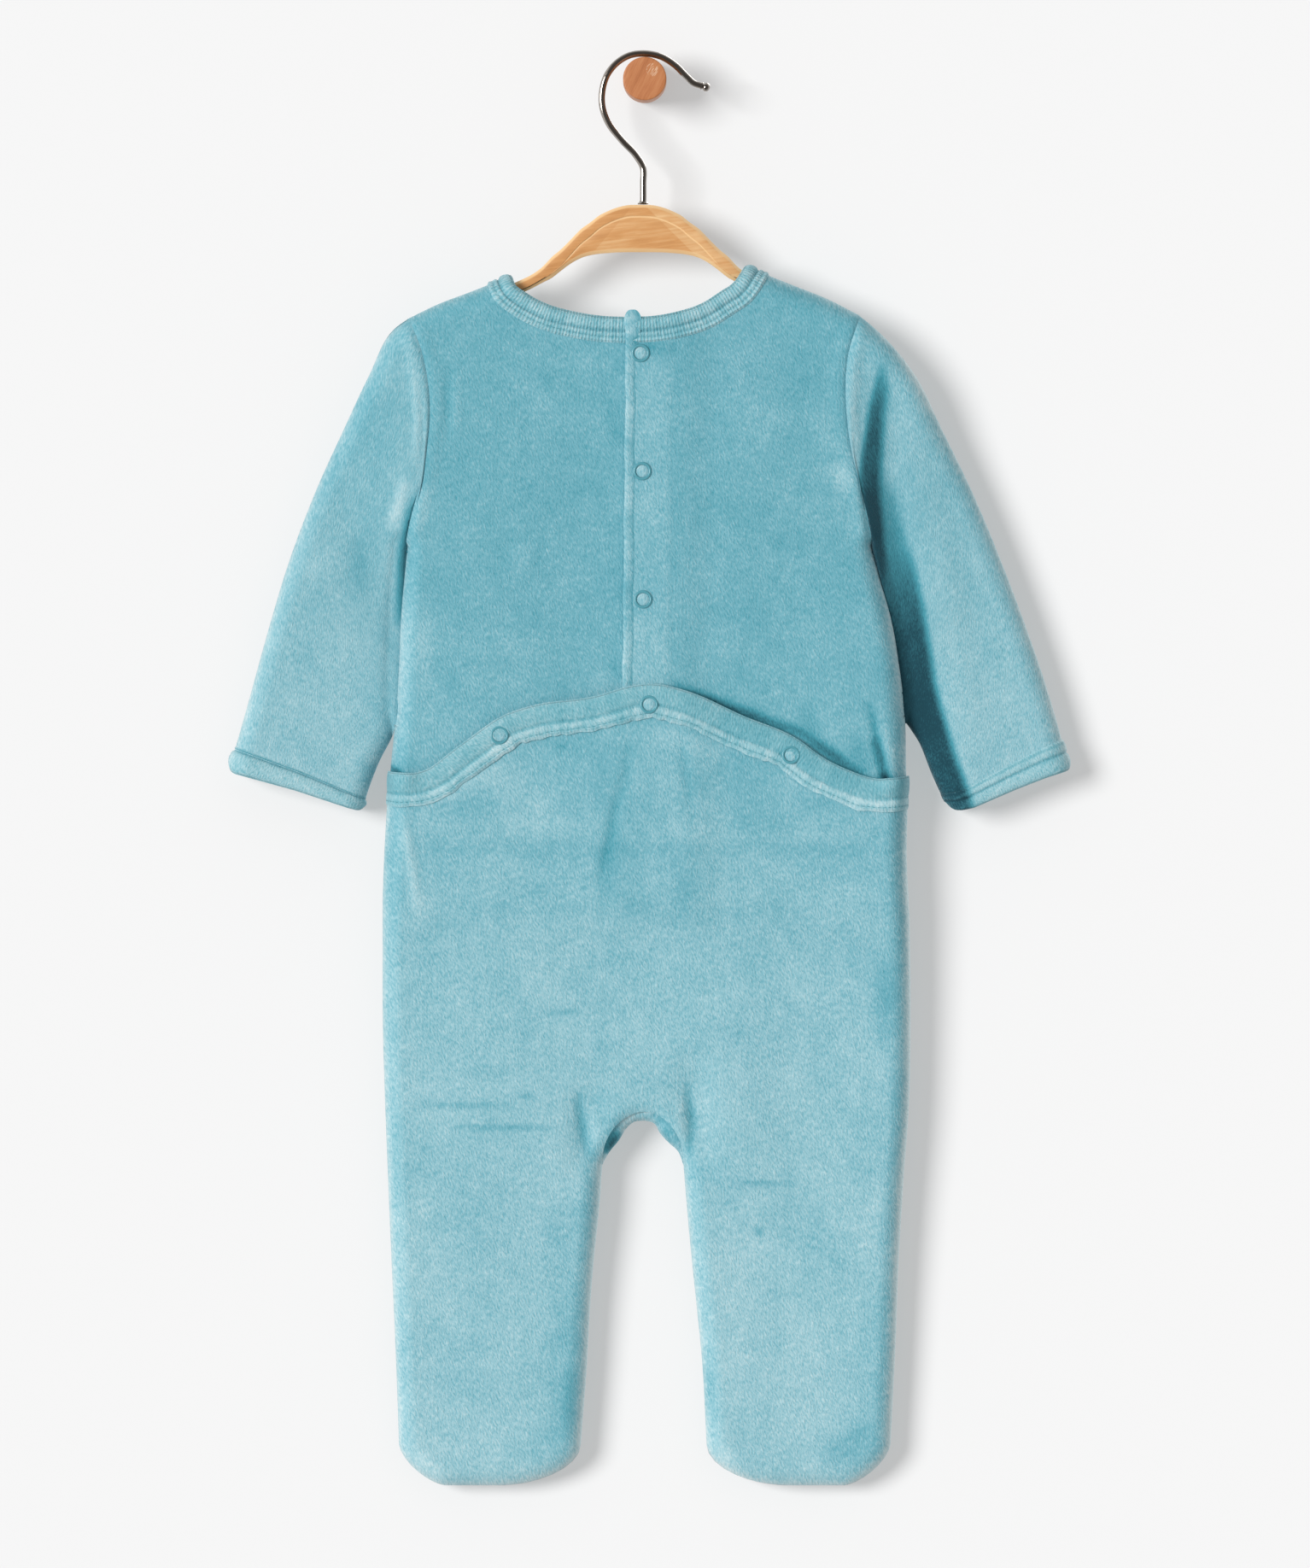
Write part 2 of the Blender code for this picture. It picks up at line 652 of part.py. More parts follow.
def upper_back_half(side, middle_shift):
    """Grid of one upper back panel, whose inner edge lies beside the closing line."""
    drops = np.array(TORSO_DROPS + UPPER_BACK_DROPS)
    middle_drops = np.interp(drops, [drops[0], drops[-1]], [NECK_BACK_MIDDLE, drops[-1]])
    ends = []
    for drop, middle in zip(drops, middle_drops):
        ends.append((body_end(side, drop), (closing_x(middle), middle)))
    grid = bend_top(between(ends, SIDE_STEPS), top_edge(side, BACK, len(SIDE_STEPS)), TOP_FADE_END)
    if middle_shift:
        lap = grid[:, -1:, :] + np.array([middle_shift, 0.0])
        grid = np.concatenate([grid, lap], axis=1)
    return grid


def closing_lift(points):
    """Lift of what lies over the left panel's hidden lap."""
    away = points[..., 0] - closing_x(points[..., 1])
    return LAYER * (1.0 - ease(away, *LAP_FADE))


def build_upper_backs():
    """The two upper back panels: the right one laps over the left one along the closing."""
    grid = upper_back_half("left", CLOSING_LAP)
    index = np.arange(grid.shape[0] * grid.shape[1]).reshape(grid.shape[:2])
    cloth("back_left_panel", grid.reshape(-1, 2), grid_quads(index), BACK, 0.0, VELOUR)
    grid = upper_back_half("right", 0.0)
    index = np.arange(grid.shape[0] * grid.shape[1]).reshape(grid.shape[:2])
    points = grid.reshape(-1, 2)
    cloth("back_right_panel", points, grid_quads(index), BACK, closing_lift(points), VELOUR)


def flap_line(shares):
    """Points along the seat flap's upper edge, from the left side seam to the right one."""
    return flowing_line([(row.x, row.drop) for row in FLAP_EDGE], shares)


def flap_lift(points):
    """Lift of the seat flap, which lies over the upper back panels, fading out below them."""
    away = points[..., 0] - closing_x(points[..., 1])
    lap = LAYER * ease(away, *FLAP_LAP_START) * (1.0 - ease(away, *FLAP_LAP_END))
    above = 1.0 - ease(points[..., 1], *FLAP_LIFT_FADE)
    return (LAYER + lap) * above


def lower_back_half(side):
    """Grid of half the lower back panel, from the flap's edge to the foot."""
    line = flap_line(np.linspace(0.0, 1.0, 2 * len(SIDE_STEPS) * CURVE_STEPS))
    outer_drop = line[0, 1] if side == "left" else line[-1, 1]
    middle_drop = float(np.interp(0.0, line[:, 0], line[:, 1]))
    drops = np.array([outer_drop, outer_drop + FLAP_EDGE_ROW, *HIP_DROPS[1:]])
    middle_drops = np.interp(drops, [drops[0], CROTCH_DROPS[0]], [middle_drop, CROTCH_TOP])
    ends = []
    for drop, middle in zip(drops, middle_drops):
        ends.append((body_end(side, drop), (0.0, middle)))
    grid = between(ends + leg_rows(side), SIDE_STEPS)
    top = grid[0].copy()
    top[:, 1] = np.interp(top[:, 0], line[:, 0], line[:, 1])
    return bend_top(grid, top, HIP_DROPS[-1]), len(ends) + 1


def build_lower_back():
    """Seat flap and the backs of both legs, one piece."""
    left, joined = lower_back_half("left")
    right, _ = lower_back_half("right")
    points, quads = two_halves(left, right, joined)
    cloth("back_lower_panel", points, quads, BACK, flap_lift(points), VELOUR)


def sleeve_grid(side, shares):
    """Points of a sleeve between its outer and inner edge, from the armhole (share 0) to its end."""
    outer = flowing_line(side_points(SLEEVE_OUTER, side), shares)
    inner = flowing_line(side_points(SLEEVE_INNER, side), shares)
    drops = np.array(ARMHOLE_DROPS)
    steps = (drops - drops[0]) / (drops[-1] - drops[0])
    grid = between(list(zip(outer, inner)), steps)
    sign = -1.0 if side == "left" else 1.0
    armhole = np.column_stack([edge_x(BODY_EDGE, side, drops) + sign * ARMHOLE_GAP, drops])
    armhole[0] = outer[0] + np.array([sign * ARMHOLE_GAP, 0.0])
    armhole[-1] = inner[0]
    fade = (1.0 - ease(shares, 0.0, ARMHOLE_FADE))[:, None, None]
    straight = between([(outer[0], inner[0])], steps)[0]
    return grid + (armhole - straight)[None, :, :] * fade


def sleeve_ring(side, shares):
    """Points, faces, depths and middles of the tube round a sleeve at some shares of its length."""
    shares = np.asarray(shares, float)
    grid = sleeve_grid(side, shares)
    points = np.concatenate([grid, grid[:, ::-1]], axis=1)
    face = np.ones(points.shape[:2])
    face[:, grid.shape[1] :] = FRONT
    settled = ease(shares, 0.0, SLEEVE_SETTLED)[:, None]
    depth = body_depth(points) * (1.0 - settled) + SLEEVE_DEPTH * settled
    mid = np.broadcast_to(HANG_PLANE + SLEEVE_SET_BACK * settled, points.shape[:2])
    index = np.arange(points.shape[0] * points.shape[1]).reshape(points.shape[:2])
    quads = grid_quads(index, ring=True)
    return points.reshape(-1, 2), quads, face.reshape(-1), depth.reshape(-1), mid.reshape(-1)


def build_sleeves():
    """Both sleeves and their cuff bands."""
    for side in ("left", "right"):
        points, quads, face, depth, mid = sleeve_ring(side, SLEEVE_SHARES)
        cloth("sleeve_" + side, points, quads, face, 0.0, VELOUR, depth, mid)
        cuff = np.linspace(1.0 - CUFF_SHARE[side], 1.0, CUFF_ROWS)
        points, quads, face, depth, mid = sleeve_ring(side, cuff)
        cloth("cuff_" + side, points, quads, face, LAYER, VELOUR_TRIM, depth, mid)


def outward(line, start_direction=None, end_direction=None):
    """Unit normals of a line of points, turned a quarter from its direction."""
    along = np.gradient(line, axis=0)
    along /= np.hypot(*along.T)[:, None]
    normal = np.column_stack([-along[:, 1], along[:, 0]])
    if start_direction is not None:
        normal[0] = start_direction
    if end_direction is not None:
        normal[-1] = end_direction
    return normal


def shoulder_direction(side):
    """Unit vector down the shoulder from the neck."""
    points = np.array(side_points(SHOULDER, side))
    run = points[NECK_POINT_ROW + 1] - points[NECK_POINT_ROW]
    return run / np.hypot(*run)


def neck_strip(side, face):
    """Strip of the neck binding on one face, from the middle to the shoulder."""
    line = neck_edge(side, face, NECK_SHARES[::-1])
    if face == BACK:
        line[0] = (closing_x(line[0, 1]) + (-1.0 if side == "left" else 0.0) * SEAM_GAP, line[0, 1])
    normal = outward(line)
    normal *= np.where(normal[:, 1:] < 0.0, -1.0, 1.0)
    normal[0] = (0.0, 1.0)
    normal[-1] = shoulder_direction(side)
    widths = np.array(BINDING_STEPS) * (NECK_BINDING_WIDTH + NECK_OVERHANG) - NECK_OVERHANG
    return line[:, None, :] + widths[None, :, None] * normal[:, None, :]


def build_neck_binding():
    """One strip round the neck, open where the back closes."""
    parts = (
        (neck_strip("left", BACK), BACK),
        (neck_strip("left", FRONT)[::-1], FRONT),
        (neck_strip("right", FRONT)[1:], FRONT),
        (neck_strip("right", BACK)[::-1], BACK),
    )
    grid = np.concatenate([part[0] for part in parts])
    face = np.concatenate([np.full(part[0].shape[:2], part[1]) for part in parts])
    lift = np.full(grid.shape[:2], BINDING_LIFT)
    last = parts[3][0].shape[0]
    lift[-last:] += closing_lift(grid[-last:])
    index = np.arange(grid.shape[0] * grid.shape[1]).reshape(grid.shape[:2])
    points = grid.reshape(-1, 2)
    cloth("neck_binding", points, grid_quads(index), face.reshape(-1), lift.reshape(-1), VELOUR_TRIM)


def build_flap_binding():
    """Strip along the seat flap's upper edge, on the flap's own columns."""
    left, _ = lower_back_half("left")
    right, _ = lower_back_half("right")
    line = np.vstack([left[0], right[0, -2::-1]])
    normal = outward(line)
    normal[0] = (0.0, 1.0)
    normal[-1] = (0.0, 1.0)
    widths = FLAP_BINDING_WIDTH * np.array(BINDING_STEPS) - FLAP_OVERHANG
    grid = line[:, None, :] + widths[None, :, None] * normal[:, None, :]
    for columns, side in ((slice(0, SIDE_COLUMNS), "left"), (slice(-SIDE_COLUMNS, None), "right")):
        inward = np.abs(line[columns, 0] - edge_x(BODY_EDGE, side, line[columns, 1]))
        sign = 1.0 if side == "left" else -1.0
        grid[columns, :, 1] = line[columns, 1:] + widths[None, :]
        grid[columns, :, 0] = edge_x(BODY_EDGE, side, grid[columns, :, 1]) + sign * inward[:, None]
    index = np.arange(grid.shape[0] * grid.shape[1]).reshape(grid.shape[:2])
    points = grid.reshape(-1, 2)
    cloth("flap_binding", points, grid_quads(index), BACK, flap_lift(points) + BINDING_LIFT, VELOUR_TRIM)


def turned(name, profile, sides, finish, centre, axis):
    """Solid turned from a closed profile of (radius, height) about an axis through a centre."""
    axis = Vector(axis).normalized()
    across = axis.orthogonal().normalized()
    other = axis.cross(across)
    points = []
    for k in range(sides):
        angle = 2.0 * math.pi * k / sides
        spoke = across * math.cos(angle) + other * math.sin(angle)
        for radius, height in profile:
            points.append(tuple(Vector(centre) + spoke * radius + axis * height))
    size = len(profile)
    faces = []
    for k in range(sides):
        n = (k + 1) % sides
        for c in range(size):
            d = (c + 1) % size
            faces.append((k * size + c, k * size + d, n * size + d, n * size + c))
    made = add_mesh(name, points, faces, finish)
    face_outwards(made)
    return made


def build_snaps():
    """Ring snaps, standing on the closing and on the flap's binding."""
    profile = (
        (SNAP_HOLE, 0.0),
        (SNAP_RADIUS, 0.0),
        (SNAP_RADIUS, SNAP_RIM.height),
        (SNAP_RADIUS - SNAP_RIM.inset, SNAP_HEIGHT),
        (SNAP_HOLE + SNAP_RIM.outset, SNAP_HEIGHT),
        (SNAP_HOLE, SNAP_RIM.height),
    )
    for number, snap in enumerate(SNAPS, 1):
        angles = np.linspace(0.0, 2.0 * math.pi, SNAP_SEAT_POINTS, endpoint=False)
        rim = SNAP_RADIUS * np.column_stack([np.cos(angles), np.sin(angles)])
        around = np.array([snap.x, snap.drop]) + rim
        lift = closing_lift(around) if snap.carrier == "closing" else flap_lift(around) + BINDING_LIFT
        seat = place(around, BACK, lift + SEAM_GAP, body_depth(around), HANG_PLANE)
        slope_x = np.polyfit(around[:, 0], seat[:, 1], 1)[0]
        slope_z = np.polyfit(-around[:, 1], seat[:, 1], 1)[0]
        axis = Vector((slope_x, -1.0, slope_z)).normalized()
        level = seat[:, 1] - slope_x * (around[:, 0] - snap.x) - slope_z * (snap.drop - around[:, 1])
        foot = (snap.x, level.min(), -snap.drop)
        turned("snap_" + str(number), profile, SNAP_SIDES, SNAP_PAINT, foot, axis)


def capped_rings(name, rings, finish):
    """Solid lofted through closed rings of points, with both ends capped."""
    rings = np.asarray(rings, float)
    count, sides = rings.shape[:2]
    faces = grid_quads(np.arange(count * sides).reshape(count, sides), ring=True)
    faces = [tuple(int(k) for k in face) for face in faces]
    faces.append(tuple(reversed(range(sides))))
    faces.append(tuple(range((count - 1) * sides, count * sides)))
    made = add_mesh(name, rings.reshape(-1, 3), faces, finish)
    face_outwards(made)
    return made


def build_hanger():
    """Wooden arm of the hanger."""
    rows = [(-row.out, row.top, row.bottom) for row in HANGER[:0:-1]] + [tuple(row) for row in HANGER]
    rings = []
    for out, top, bottom in rows:
        edge = min(HANGER_EDGE, HANGER_EDGE_SHARE * (bottom - top))
        deep = HANGER_HALF_THICKNESS
        corners = (
            (-deep + edge, top),
            (deep - edge, top),
            (deep, top + edge),
            (deep, bottom - edge),
            (deep - edge, bottom),
            (-deep + edge, bottom),
            (-deep, bottom - edge),
            (-deep, top + edge),
        )
        rings.append([(HANGER_MIDDLE + out, HANG_PLANE + across, -drop) for across, drop in corners])
    capped_rings("hanger_arm", rings, HANGER_WOOD)


def build_hook():
    """Wire hook with a ball end, and the ferrule round its stem's foot."""
    line = flowing_line([(point.x, point.drop) for point in HOOK], np.linspace(0.0, 1.0, HOOK_STATIONS))
    along = np.gradient(line, axis=0)
    along /= np.hypot(*along.T)[:, None]
    radii = [WIRE_RADIUS] * len(line)
    centres = list(line)
    for step in BALL:
        centres.append(line[-1] + along[-1] * step.along)
        radii.append(BALL_RADIUS * step.share)
    directions = list(along) + [along[-1]] * (len(centres) - len(line))
    rings = []
    for centre, direction, radius in zip(centres, directions, radii):
        ring = []
        for k in range(WIRE_SIDES):
            angle = 2.0 * math.pi * k / WIRE_SIDES
            across = radius * math.cos(angle)
            x = centre[0] - direction[1] * across
            drop = centre[1] + direction[0] * across
            ring.append((x, HANG_PLANE + radius * math.sin(angle), -drop))
        rings.append(ring)
    capped_rings("hanger_hook", rings, CHROME)
    stem = HOOK[0]
    hole = WIRE_RADIUS + SEAM_GAP
    profile = (
        (hole, 0.0),
        (FERRULE_RADIUS, 0.0),
        (FERRULE_RADIUS, FERRULE_HEIGHT - FERRULE_EDGE),
        (FERRULE_RADIUS - FERRULE_EDGE, FERRULE_HEIGHT),
        (hole, FERRULE_HEIGHT),
    )
    foot = (stem.x, HANG_PLANE, -stem.drop)
    turned("hook_ferrule", profile, FERRULE_SIDES, CHROME, foot, (0.0, 0.0, 1.0))


def build_peg():
    """Round wooden wall peg, flat at the wall."""
    stations = (
        (0.0, PEG_RADIUS),
        (PEG_LENGTH - PEG_EDGE, PEG_RADIUS),
        (PEG_LENGTH, PEG_RADIUS - PEG_EDGE),
    )
    rings = []
    for out, radius in stations:
        angles = 2.0 * math.pi * np.arange(PEG_SIDES) / PEG_SIDES
        rings.append([(radius * math.sin(angle), -out, radius * math.cos(angle)) for angle in angles])
    capped_rings("wall_peg", rings, PEG_WOOD)


def main():
    """Build the sleepsuit and what it hangs on."""
    clear_scene()
    build_front()
    build_upper_backs()
    build_lower_back()
    build_sleeves()
    build_neck_binding()
    build_flap_binding()
    build_snaps()
    build_hanger()
    build_hook()
    build_peg()


main()
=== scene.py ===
"""Looks of a velour baby sleepsuit that hangs on a wooden hanger from a round wall peg.

The garment's back faces the viewer, along -Y, and the wall is the plane y = 0.  Lengths are
millimetres unless a name says otherwise: x runs across, and a drop is the height below the peg's
axis.  Every cloth piece is a thin shell on the hollow form that its solid has, with the folds,
rolled edges, stitches and pile that the solid leaves out.
"""

import logging
import math
from dataclasses import dataclass
from enum import Enum
from functools import cache
from typing import NamedTuple, Optional, Sequence

import bmesh
import bpy
import numpy as np
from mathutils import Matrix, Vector


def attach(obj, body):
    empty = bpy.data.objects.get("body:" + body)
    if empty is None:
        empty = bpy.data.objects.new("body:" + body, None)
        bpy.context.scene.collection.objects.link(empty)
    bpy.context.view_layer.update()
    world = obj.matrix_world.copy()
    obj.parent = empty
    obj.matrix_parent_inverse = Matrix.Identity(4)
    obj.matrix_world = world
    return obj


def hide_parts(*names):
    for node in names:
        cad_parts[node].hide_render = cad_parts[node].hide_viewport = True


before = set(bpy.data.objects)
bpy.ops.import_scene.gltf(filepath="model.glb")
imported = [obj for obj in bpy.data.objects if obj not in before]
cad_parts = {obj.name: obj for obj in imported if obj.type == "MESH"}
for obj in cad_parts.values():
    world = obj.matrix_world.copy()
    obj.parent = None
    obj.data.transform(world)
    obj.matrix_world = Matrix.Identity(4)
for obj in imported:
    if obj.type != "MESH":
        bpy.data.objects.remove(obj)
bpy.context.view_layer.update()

Array = np.ndarray
Numbers = Sequence[float]
Object = bpy.types.Object
Tree = bpy.types.NodeTree
Socket = bpy.types.NodeSocket

LOG = logging.getLogger("sleepsuit")
MM = 0.001
BODY = "root"

# The garment's form: the tables and rules that its solids follow.

CLOTH = 1.4
SEAM_GAP = 0.3
LAYER = CLOTH + SEAM_GAP
HANG_PLANE = -30
EDGE_ROUND = 10
SLEEVE_DEPTH = 9.5
SLEEVE_SET_BACK = 5
SLEEVE_RUN_ON = 4
ARMHOLE_GAP = -0.5


class Face(Enum):
    """The two sides of the garment; the value is the sign of the side's distance from the hang plane."""

    BACK = 1
    FRONT = -1


class Side(Enum):
    """Left or right as the viewer sees the garment's back; the value is the sign of x."""

    LEFT = -1
    RIGHT = 1


class Depth(NamedTuple):
    """Half depth of the hollow body at a drop."""

    drop: float
    half: float


class Pair(NamedTuple):
    """A point on the left and the matching one on the right."""

    left_x: float
    left_drop: float
    right_x: float
    right_drop: float


class Section(NamedTuple):
    """Where an edge lies on both sides at one drop."""

    drop: float
    left: float
    right: float


class Spot(NamedTuple):
    """A point of the garment laid flat."""

    x: float
    drop: float


class FootCorner(NamedTuple):
    """Width and roundness of a foot's corner."""

    width: float
    curve: float


def table(kind: type, *rows: Numbers) -> tuple:
    """Rows of a table, each with the kind's named columns."""
    return tuple(kind(*row) for row in rows)


DEPTHS = table(
    Depth,
    (90, 12), (140, 12), (240, 13), (420, 13.5), (540, 12), (620, 10.5), (730, 10),
)
SHOULDER = table(
    Pair,
    (-6, 80, -6, 80), (-38, 88, 22, 84.5), (-69.6, 101.7, 52.5, 96.8), (-89.8, 109.7, 76.1, 106.2),
    (-106.9, 116.2, 93.7, 113.2), (-121.9, 123.5, 111, 122),
)
NECK_POINT_ROW = 2
SLEEVE_OUTER = table(
    Pair,
    (-121.9, 123.5, 111, 122), (-129.5, 129, 119.5, 129), (-142.6, 153.1, 140, 153.1),
    (-154.9, 179.5, 152.9, 179.5), (-170.7, 214.7, 169.8, 214.7), (-183.9, 249.9, 184.4, 249.9),
    (-194.5, 285.1, 197.6, 285.1), (-204.2, 320.3, 209.4, 320.3), (-214.5, 356.5, 219, 355.5),
)
SLEEVE_INNER = table(
    Pair,
    (-124.1, 241, 118.6, 241), (-126.3, 267, 125.4, 267), (-128, 305, 132.6, 304.5),
    (-130, 338, 135.4, 332), (-136.8, 351.6, 141.5, 342), (-141, 362, 147.6, 357), (-146, 377, 156, 375),
)
BODY_EDGE = table(
    Section,
    (122.8, -121.9, 111), (142, -114.8, 105.2), (157, -112, 103.8), (172, -111.2, 104.3),
    (190, -112.8, 106.6), (207.7, -115.4, 110.9), (225, -120.3, 114.5), (241, -123.3, 117.8),
    (253, -124.2, 120.6), (278.5, -126, 127.2), (304.5, -127, 131.6), (330.4, -128.6, 134.2),
    (355, -131, 134.8), (373, -132.3, 135), (400, -133.8, 134.5), (440, -135, 136.5), (490, -135, 137),
    (530, -133.8, 136.2), (566, -132.4, 133.5), (606, -130.7, 131.1), (659, -128.3, 129),
    (704, -126.7, 126.7),
)
INSEAM = table(
    Section,
    (560, -22, 20), (580, -23.3, 21.6), (606, -26, 24), (633, -28.2, 26.8), (659, -29.6, 29.4),
    (704, -33, 31.9),
)
SHOULDER_TIP = 122.8
UNDERARM = 241
CROTCH_TOP = 537
FOOT_TOP = 704
FOOT_BOTTOM = 725
BACK_CROTCH_TOP = 532.2
FRONT_CROTCH = table(
    Pair,
    (0, CROTCH_TOP, 0, CROTCH_TOP), (-5.5, 537.6, 4.6, 538.2), (-9.2, 540.6, 8, 543.6),
    (-13.2, 547, 12.6, 548.6), (-18.4, 553.4, 17, 552.6), (-22, 560, 20, 560),
)
NECK_BACK = table(
    Section,
    (106.8, -67.4, 45.5), (110.4, -63, 40), (117, -51, 29.5), (121.2, -36, 17), (123.4, -22, 5),
)
NECK_BACK_MIDDLE = 124
NECK_FRONT = table(
    Section,
    (115, -66, 46.5), (131, -55, 35), (143, -38, 19), (149, -24, 4),
)
NECK_FRONT_MIDDLE = 151
CLOSING_TOP = -8.8
CLOSING_LEAN = -2.6
CLOSING_LAP = 22
LAP_FADE = (24, 46)
FLAP_LAP_START = (-54, -2)
FLAP_LAP_END = (30, 54)
UPPER_BACK_END = 398
FLAP_EDGE = table(
    Spot,
    (-132, 358.5), (-122, 360), (-110, 357), (-99, 348.5), (-86, 339), (-72.6, 330), (-58, 325),
    (-24, 319.8), (-8, 315), (4, 313.6), (20, 317), (50.6, 330.4), (77, 341.4), (90.2, 351.1), (104, 358),
    (120, 362.8), (135, 361),
)
FLAP_LIFT_FADE = (420, 452)
FLAP_BEND_END = 510
TOP_FADE_END = 300
ARMHOLE_FADE = 0.45
SLEEVE_SETTLED = 0.4
CURVE_STEPS = 6
FOOT_OUTER = FootCorner(24, 1.5)
FOOT_INNER = FootCorner(42, 1.9)


def smooth_through(knots: Numbers, values: Numbers, at: Array) -> Array:
    """Value at each place on a cubic curve through rising knots.

    Args:
        knots: rising places of the known values.
        values: the values there.
        at: where the curve is read.

    Returns:
        The curve's values.
    """
    knots = np.asarray(knots, float)
    values = np.asarray(values, float)
    at = np.clip(np.asarray(at, float), knots[0], knots[-1])
    slopes = np.gradient(values, knots)
    low = np.clip(np.searchsorted(knots, at, side="right") - 1, 0, len(knots) - 2)
    span = knots[low + 1] - knots[low]
    t = (at - knots[low]) / span
    rise = values[low + 1] - values[low]
    start = span * slopes[low]
    end = span * slopes[low + 1]
    return values[low] + t * start + t**2 * (3 * rise - 2 * start - end) + t**3 * (start + end - 2 * rise)


def lengths(line: Array) -> Array:
    """Length along a line of points up to each of them."""
    return np.r_[0, np.cumsum(np.linalg.norm(np.diff(line, axis=0), axis=1))]


def flowing_line(points: Sequence, shares: Numbers) -> Array:
    """Points at shares of the length of a smooth line through the given points."""
    points = np.asarray(points, float)
    along = lengths(points)
    at = np.asarray(shares, float) * along[-1]
    return np.column_stack([smooth_through(along, column, at) for column in points.T])


def ease(value: Array, start: float, end: float) -> Array:
    """0 before start, 1 after end, and a soft step between them."""
    t = np.clip((np.asarray(value, float) - start) / (end - start), 0, 1)
    return t * t * (3 - 2 * t)


def bell(away: Array, width: float) -> Array:
    """1 at no distance, falling off like a bell of the given half width."""
    return np.exp(-((away / width) ** 2))


def unit(ways: Array) -> Array:
    """The same directions, each 1 long."""
    return ways / np.linalg.norm(ways, axis=-1, keepdims=True)


def on_side(row: Section, side: Side) -> float:
    """One side's place in a row."""
    return row.left if side is Side.LEFT else row.right


def side_points(rows: Sequence[Pair], side: Side) -> Array:
    """A table's points on one side of the garment."""
    return np.array([row[:2] if side is Side.LEFT else row[2:] for row in rows], float)


def edge_x(rows: Sequence[Section], side: Side, drop: Array) -> Array:
    """Where one side's edge lies at a drop."""
    return smooth_through([row.drop for row in rows], [on_side(row, side) for row in rows], drop)


def edge_line(rows: Sequence[Section], side: Side, drops: Array) -> Array:
    """Points of one side's edge at some drops."""
    return np.column_stack([edge_x(rows, side, drops), drops])


def foot_corner(side: Side, outer: bool, shares: Array) -> Array:
    """Points of a foot's rounded corner, from its side (share 0) to its flat bottom (share 1)."""
    rows, corner, inward = (INSEAM, FOOT_INNER, side.value)
    if outer:
        rows, corner, inward = (BODY_EDGE, FOOT_OUTER, -side.value)
    angle = np.asarray(shares, float) * math.pi / 2
    reach = 1 - np.cos(angle) ** (2 / corner.curve)
    x = edge_x(rows, side, FOOT_TOP) + inward * corner.width * reach
    drop = FOOT_TOP + (FOOT_BOTTOM - FOOT_TOP) * np.sin(angle) ** (2 / corner.curve)
    return np.column_stack([x, drop])


def crotch_arc(side: Side, shares: Array, face: Face = Face.FRONT) -> Array:
    """Points of a face's crotch arch, from its top (share 0) to the inseam (share 1)."""
    if face is Face.FRONT:
        return flowing_line(side_points(FRONT_CROTCH, side), shares)
    bottom = INSEAM[0].drop
    angle = np.asarray(shares, float) * math.pi / 2
    x = on_side(INSEAM[0], side) * np.sin(angle) ** 1.1
    return np.column_stack([x, bottom - (bottom - BACK_CROTCH_TOP) * np.cos(angle) ** 0.9])


def body_depth(points: Array) -> Array:
    """Half depth of the body's hollow form at each point."""
    return smooth_through([row.drop for row in DEPTHS], [row.half for row in DEPTHS], points[..., 1])


def closing_x(drop: Array) -> Array:
    """Where the upper right panel's closing edge runs."""
    share = (drop - NECK_BACK_MIDDLE) / (UPPER_BACK_END - NECK_BACK_MIDDLE)
    return CLOSING_TOP + CLOSING_LEAN * share


def closing_lift(points: Array) -> Array:
    """Lift of what lies over the left panel's hidden lap."""
    return LAYER * (1 - ease(points[..., 0] - closing_x(points[..., 1]), *LAP_FADE))


def flap_lift(points: Array) -> Array:
    """Lift of the seat flap, which lies over the upper back panels, fading out below them."""
    away = points[..., 0] - closing_x(points[..., 1])
    lap = LAYER * ease(away, *FLAP_LAP_START) * (1 - ease(away, *FLAP_LAP_END))
    return (LAYER + lap) * (1 - ease(points[..., 1], *FLAP_LIFT_FADE))


class Mark(NamedTuple):
    """A soft fold, a stroke of the pile's brushing, or a stroke of painted light or shade, along a line on
    the cloth.

    Its height is above 0 for a ridge and below 0 for a trough, and its nap is above 0 where the cloth
    looks paler and below 0 where it looks deeper: partly the pile's own lean, partly painted highlights
    on ridges and painted shade and shadow in creases, in gaps and under raised edges.
    """

    width: float
    height: float
    nap: float
    hard_ends: bool
    path: Array


def marks(*rows: Numbers) -> tuple[Mark, ...]:
    """Marks from rows of width, height, nap and hard ends (0 or 1), then x and drop of each point."""
    return tuple(Mark(*row[:3], bool(row[3]), np.reshape(row[4:], (-1, 2)).astype(float)) for row in rows)


def spread_marks(points: Array, folds: Sequence[Mark]) -> tuple[Array, Array]:
    """Height and nap of all marks at each point.

    Args:
        points: (x, drop) of the points.
        folds: the folds and strokes.

    Returns:
        The summed heights and the summed naps.
    """
    height = np.zeros(len(points))
    nap = np.zeros(len(points))
    for mark in folds:
        along = lengths(mark.path)
        near = np.full(len(points), np.inf)
        share = np.zeros(len(points))
        for start, run, done, length in zip(mark.path, np.diff(mark.path, axis=0), along, np.diff(along)):
            held = np.clip(((points - start) @ run) / (run @ run), 0, 1)
            away = np.hypot(*(points - start - held[:, None] * run).T)
            closer = away < near
            near = np.where(closer, away, near)
            share = np.where(closer, (done + held * length) / along[-1], share)
        taper = 1 if mark.hard_ends else np.sin(math.pi * np.clip(share, 0, 1)) ** 0.7
        strength = taper * bell(near, mark.width)
        height += mark.height * strength
        nap += mark.nap * strength
    return height, nap


class Shade(NamedTuple):
    """A row of a zone of painted shadow: where it starts and ends at a drop, and the painted shadow's depth
    there, as nap.
    """

    drop: float
    start: float
    end: float
    nap: float


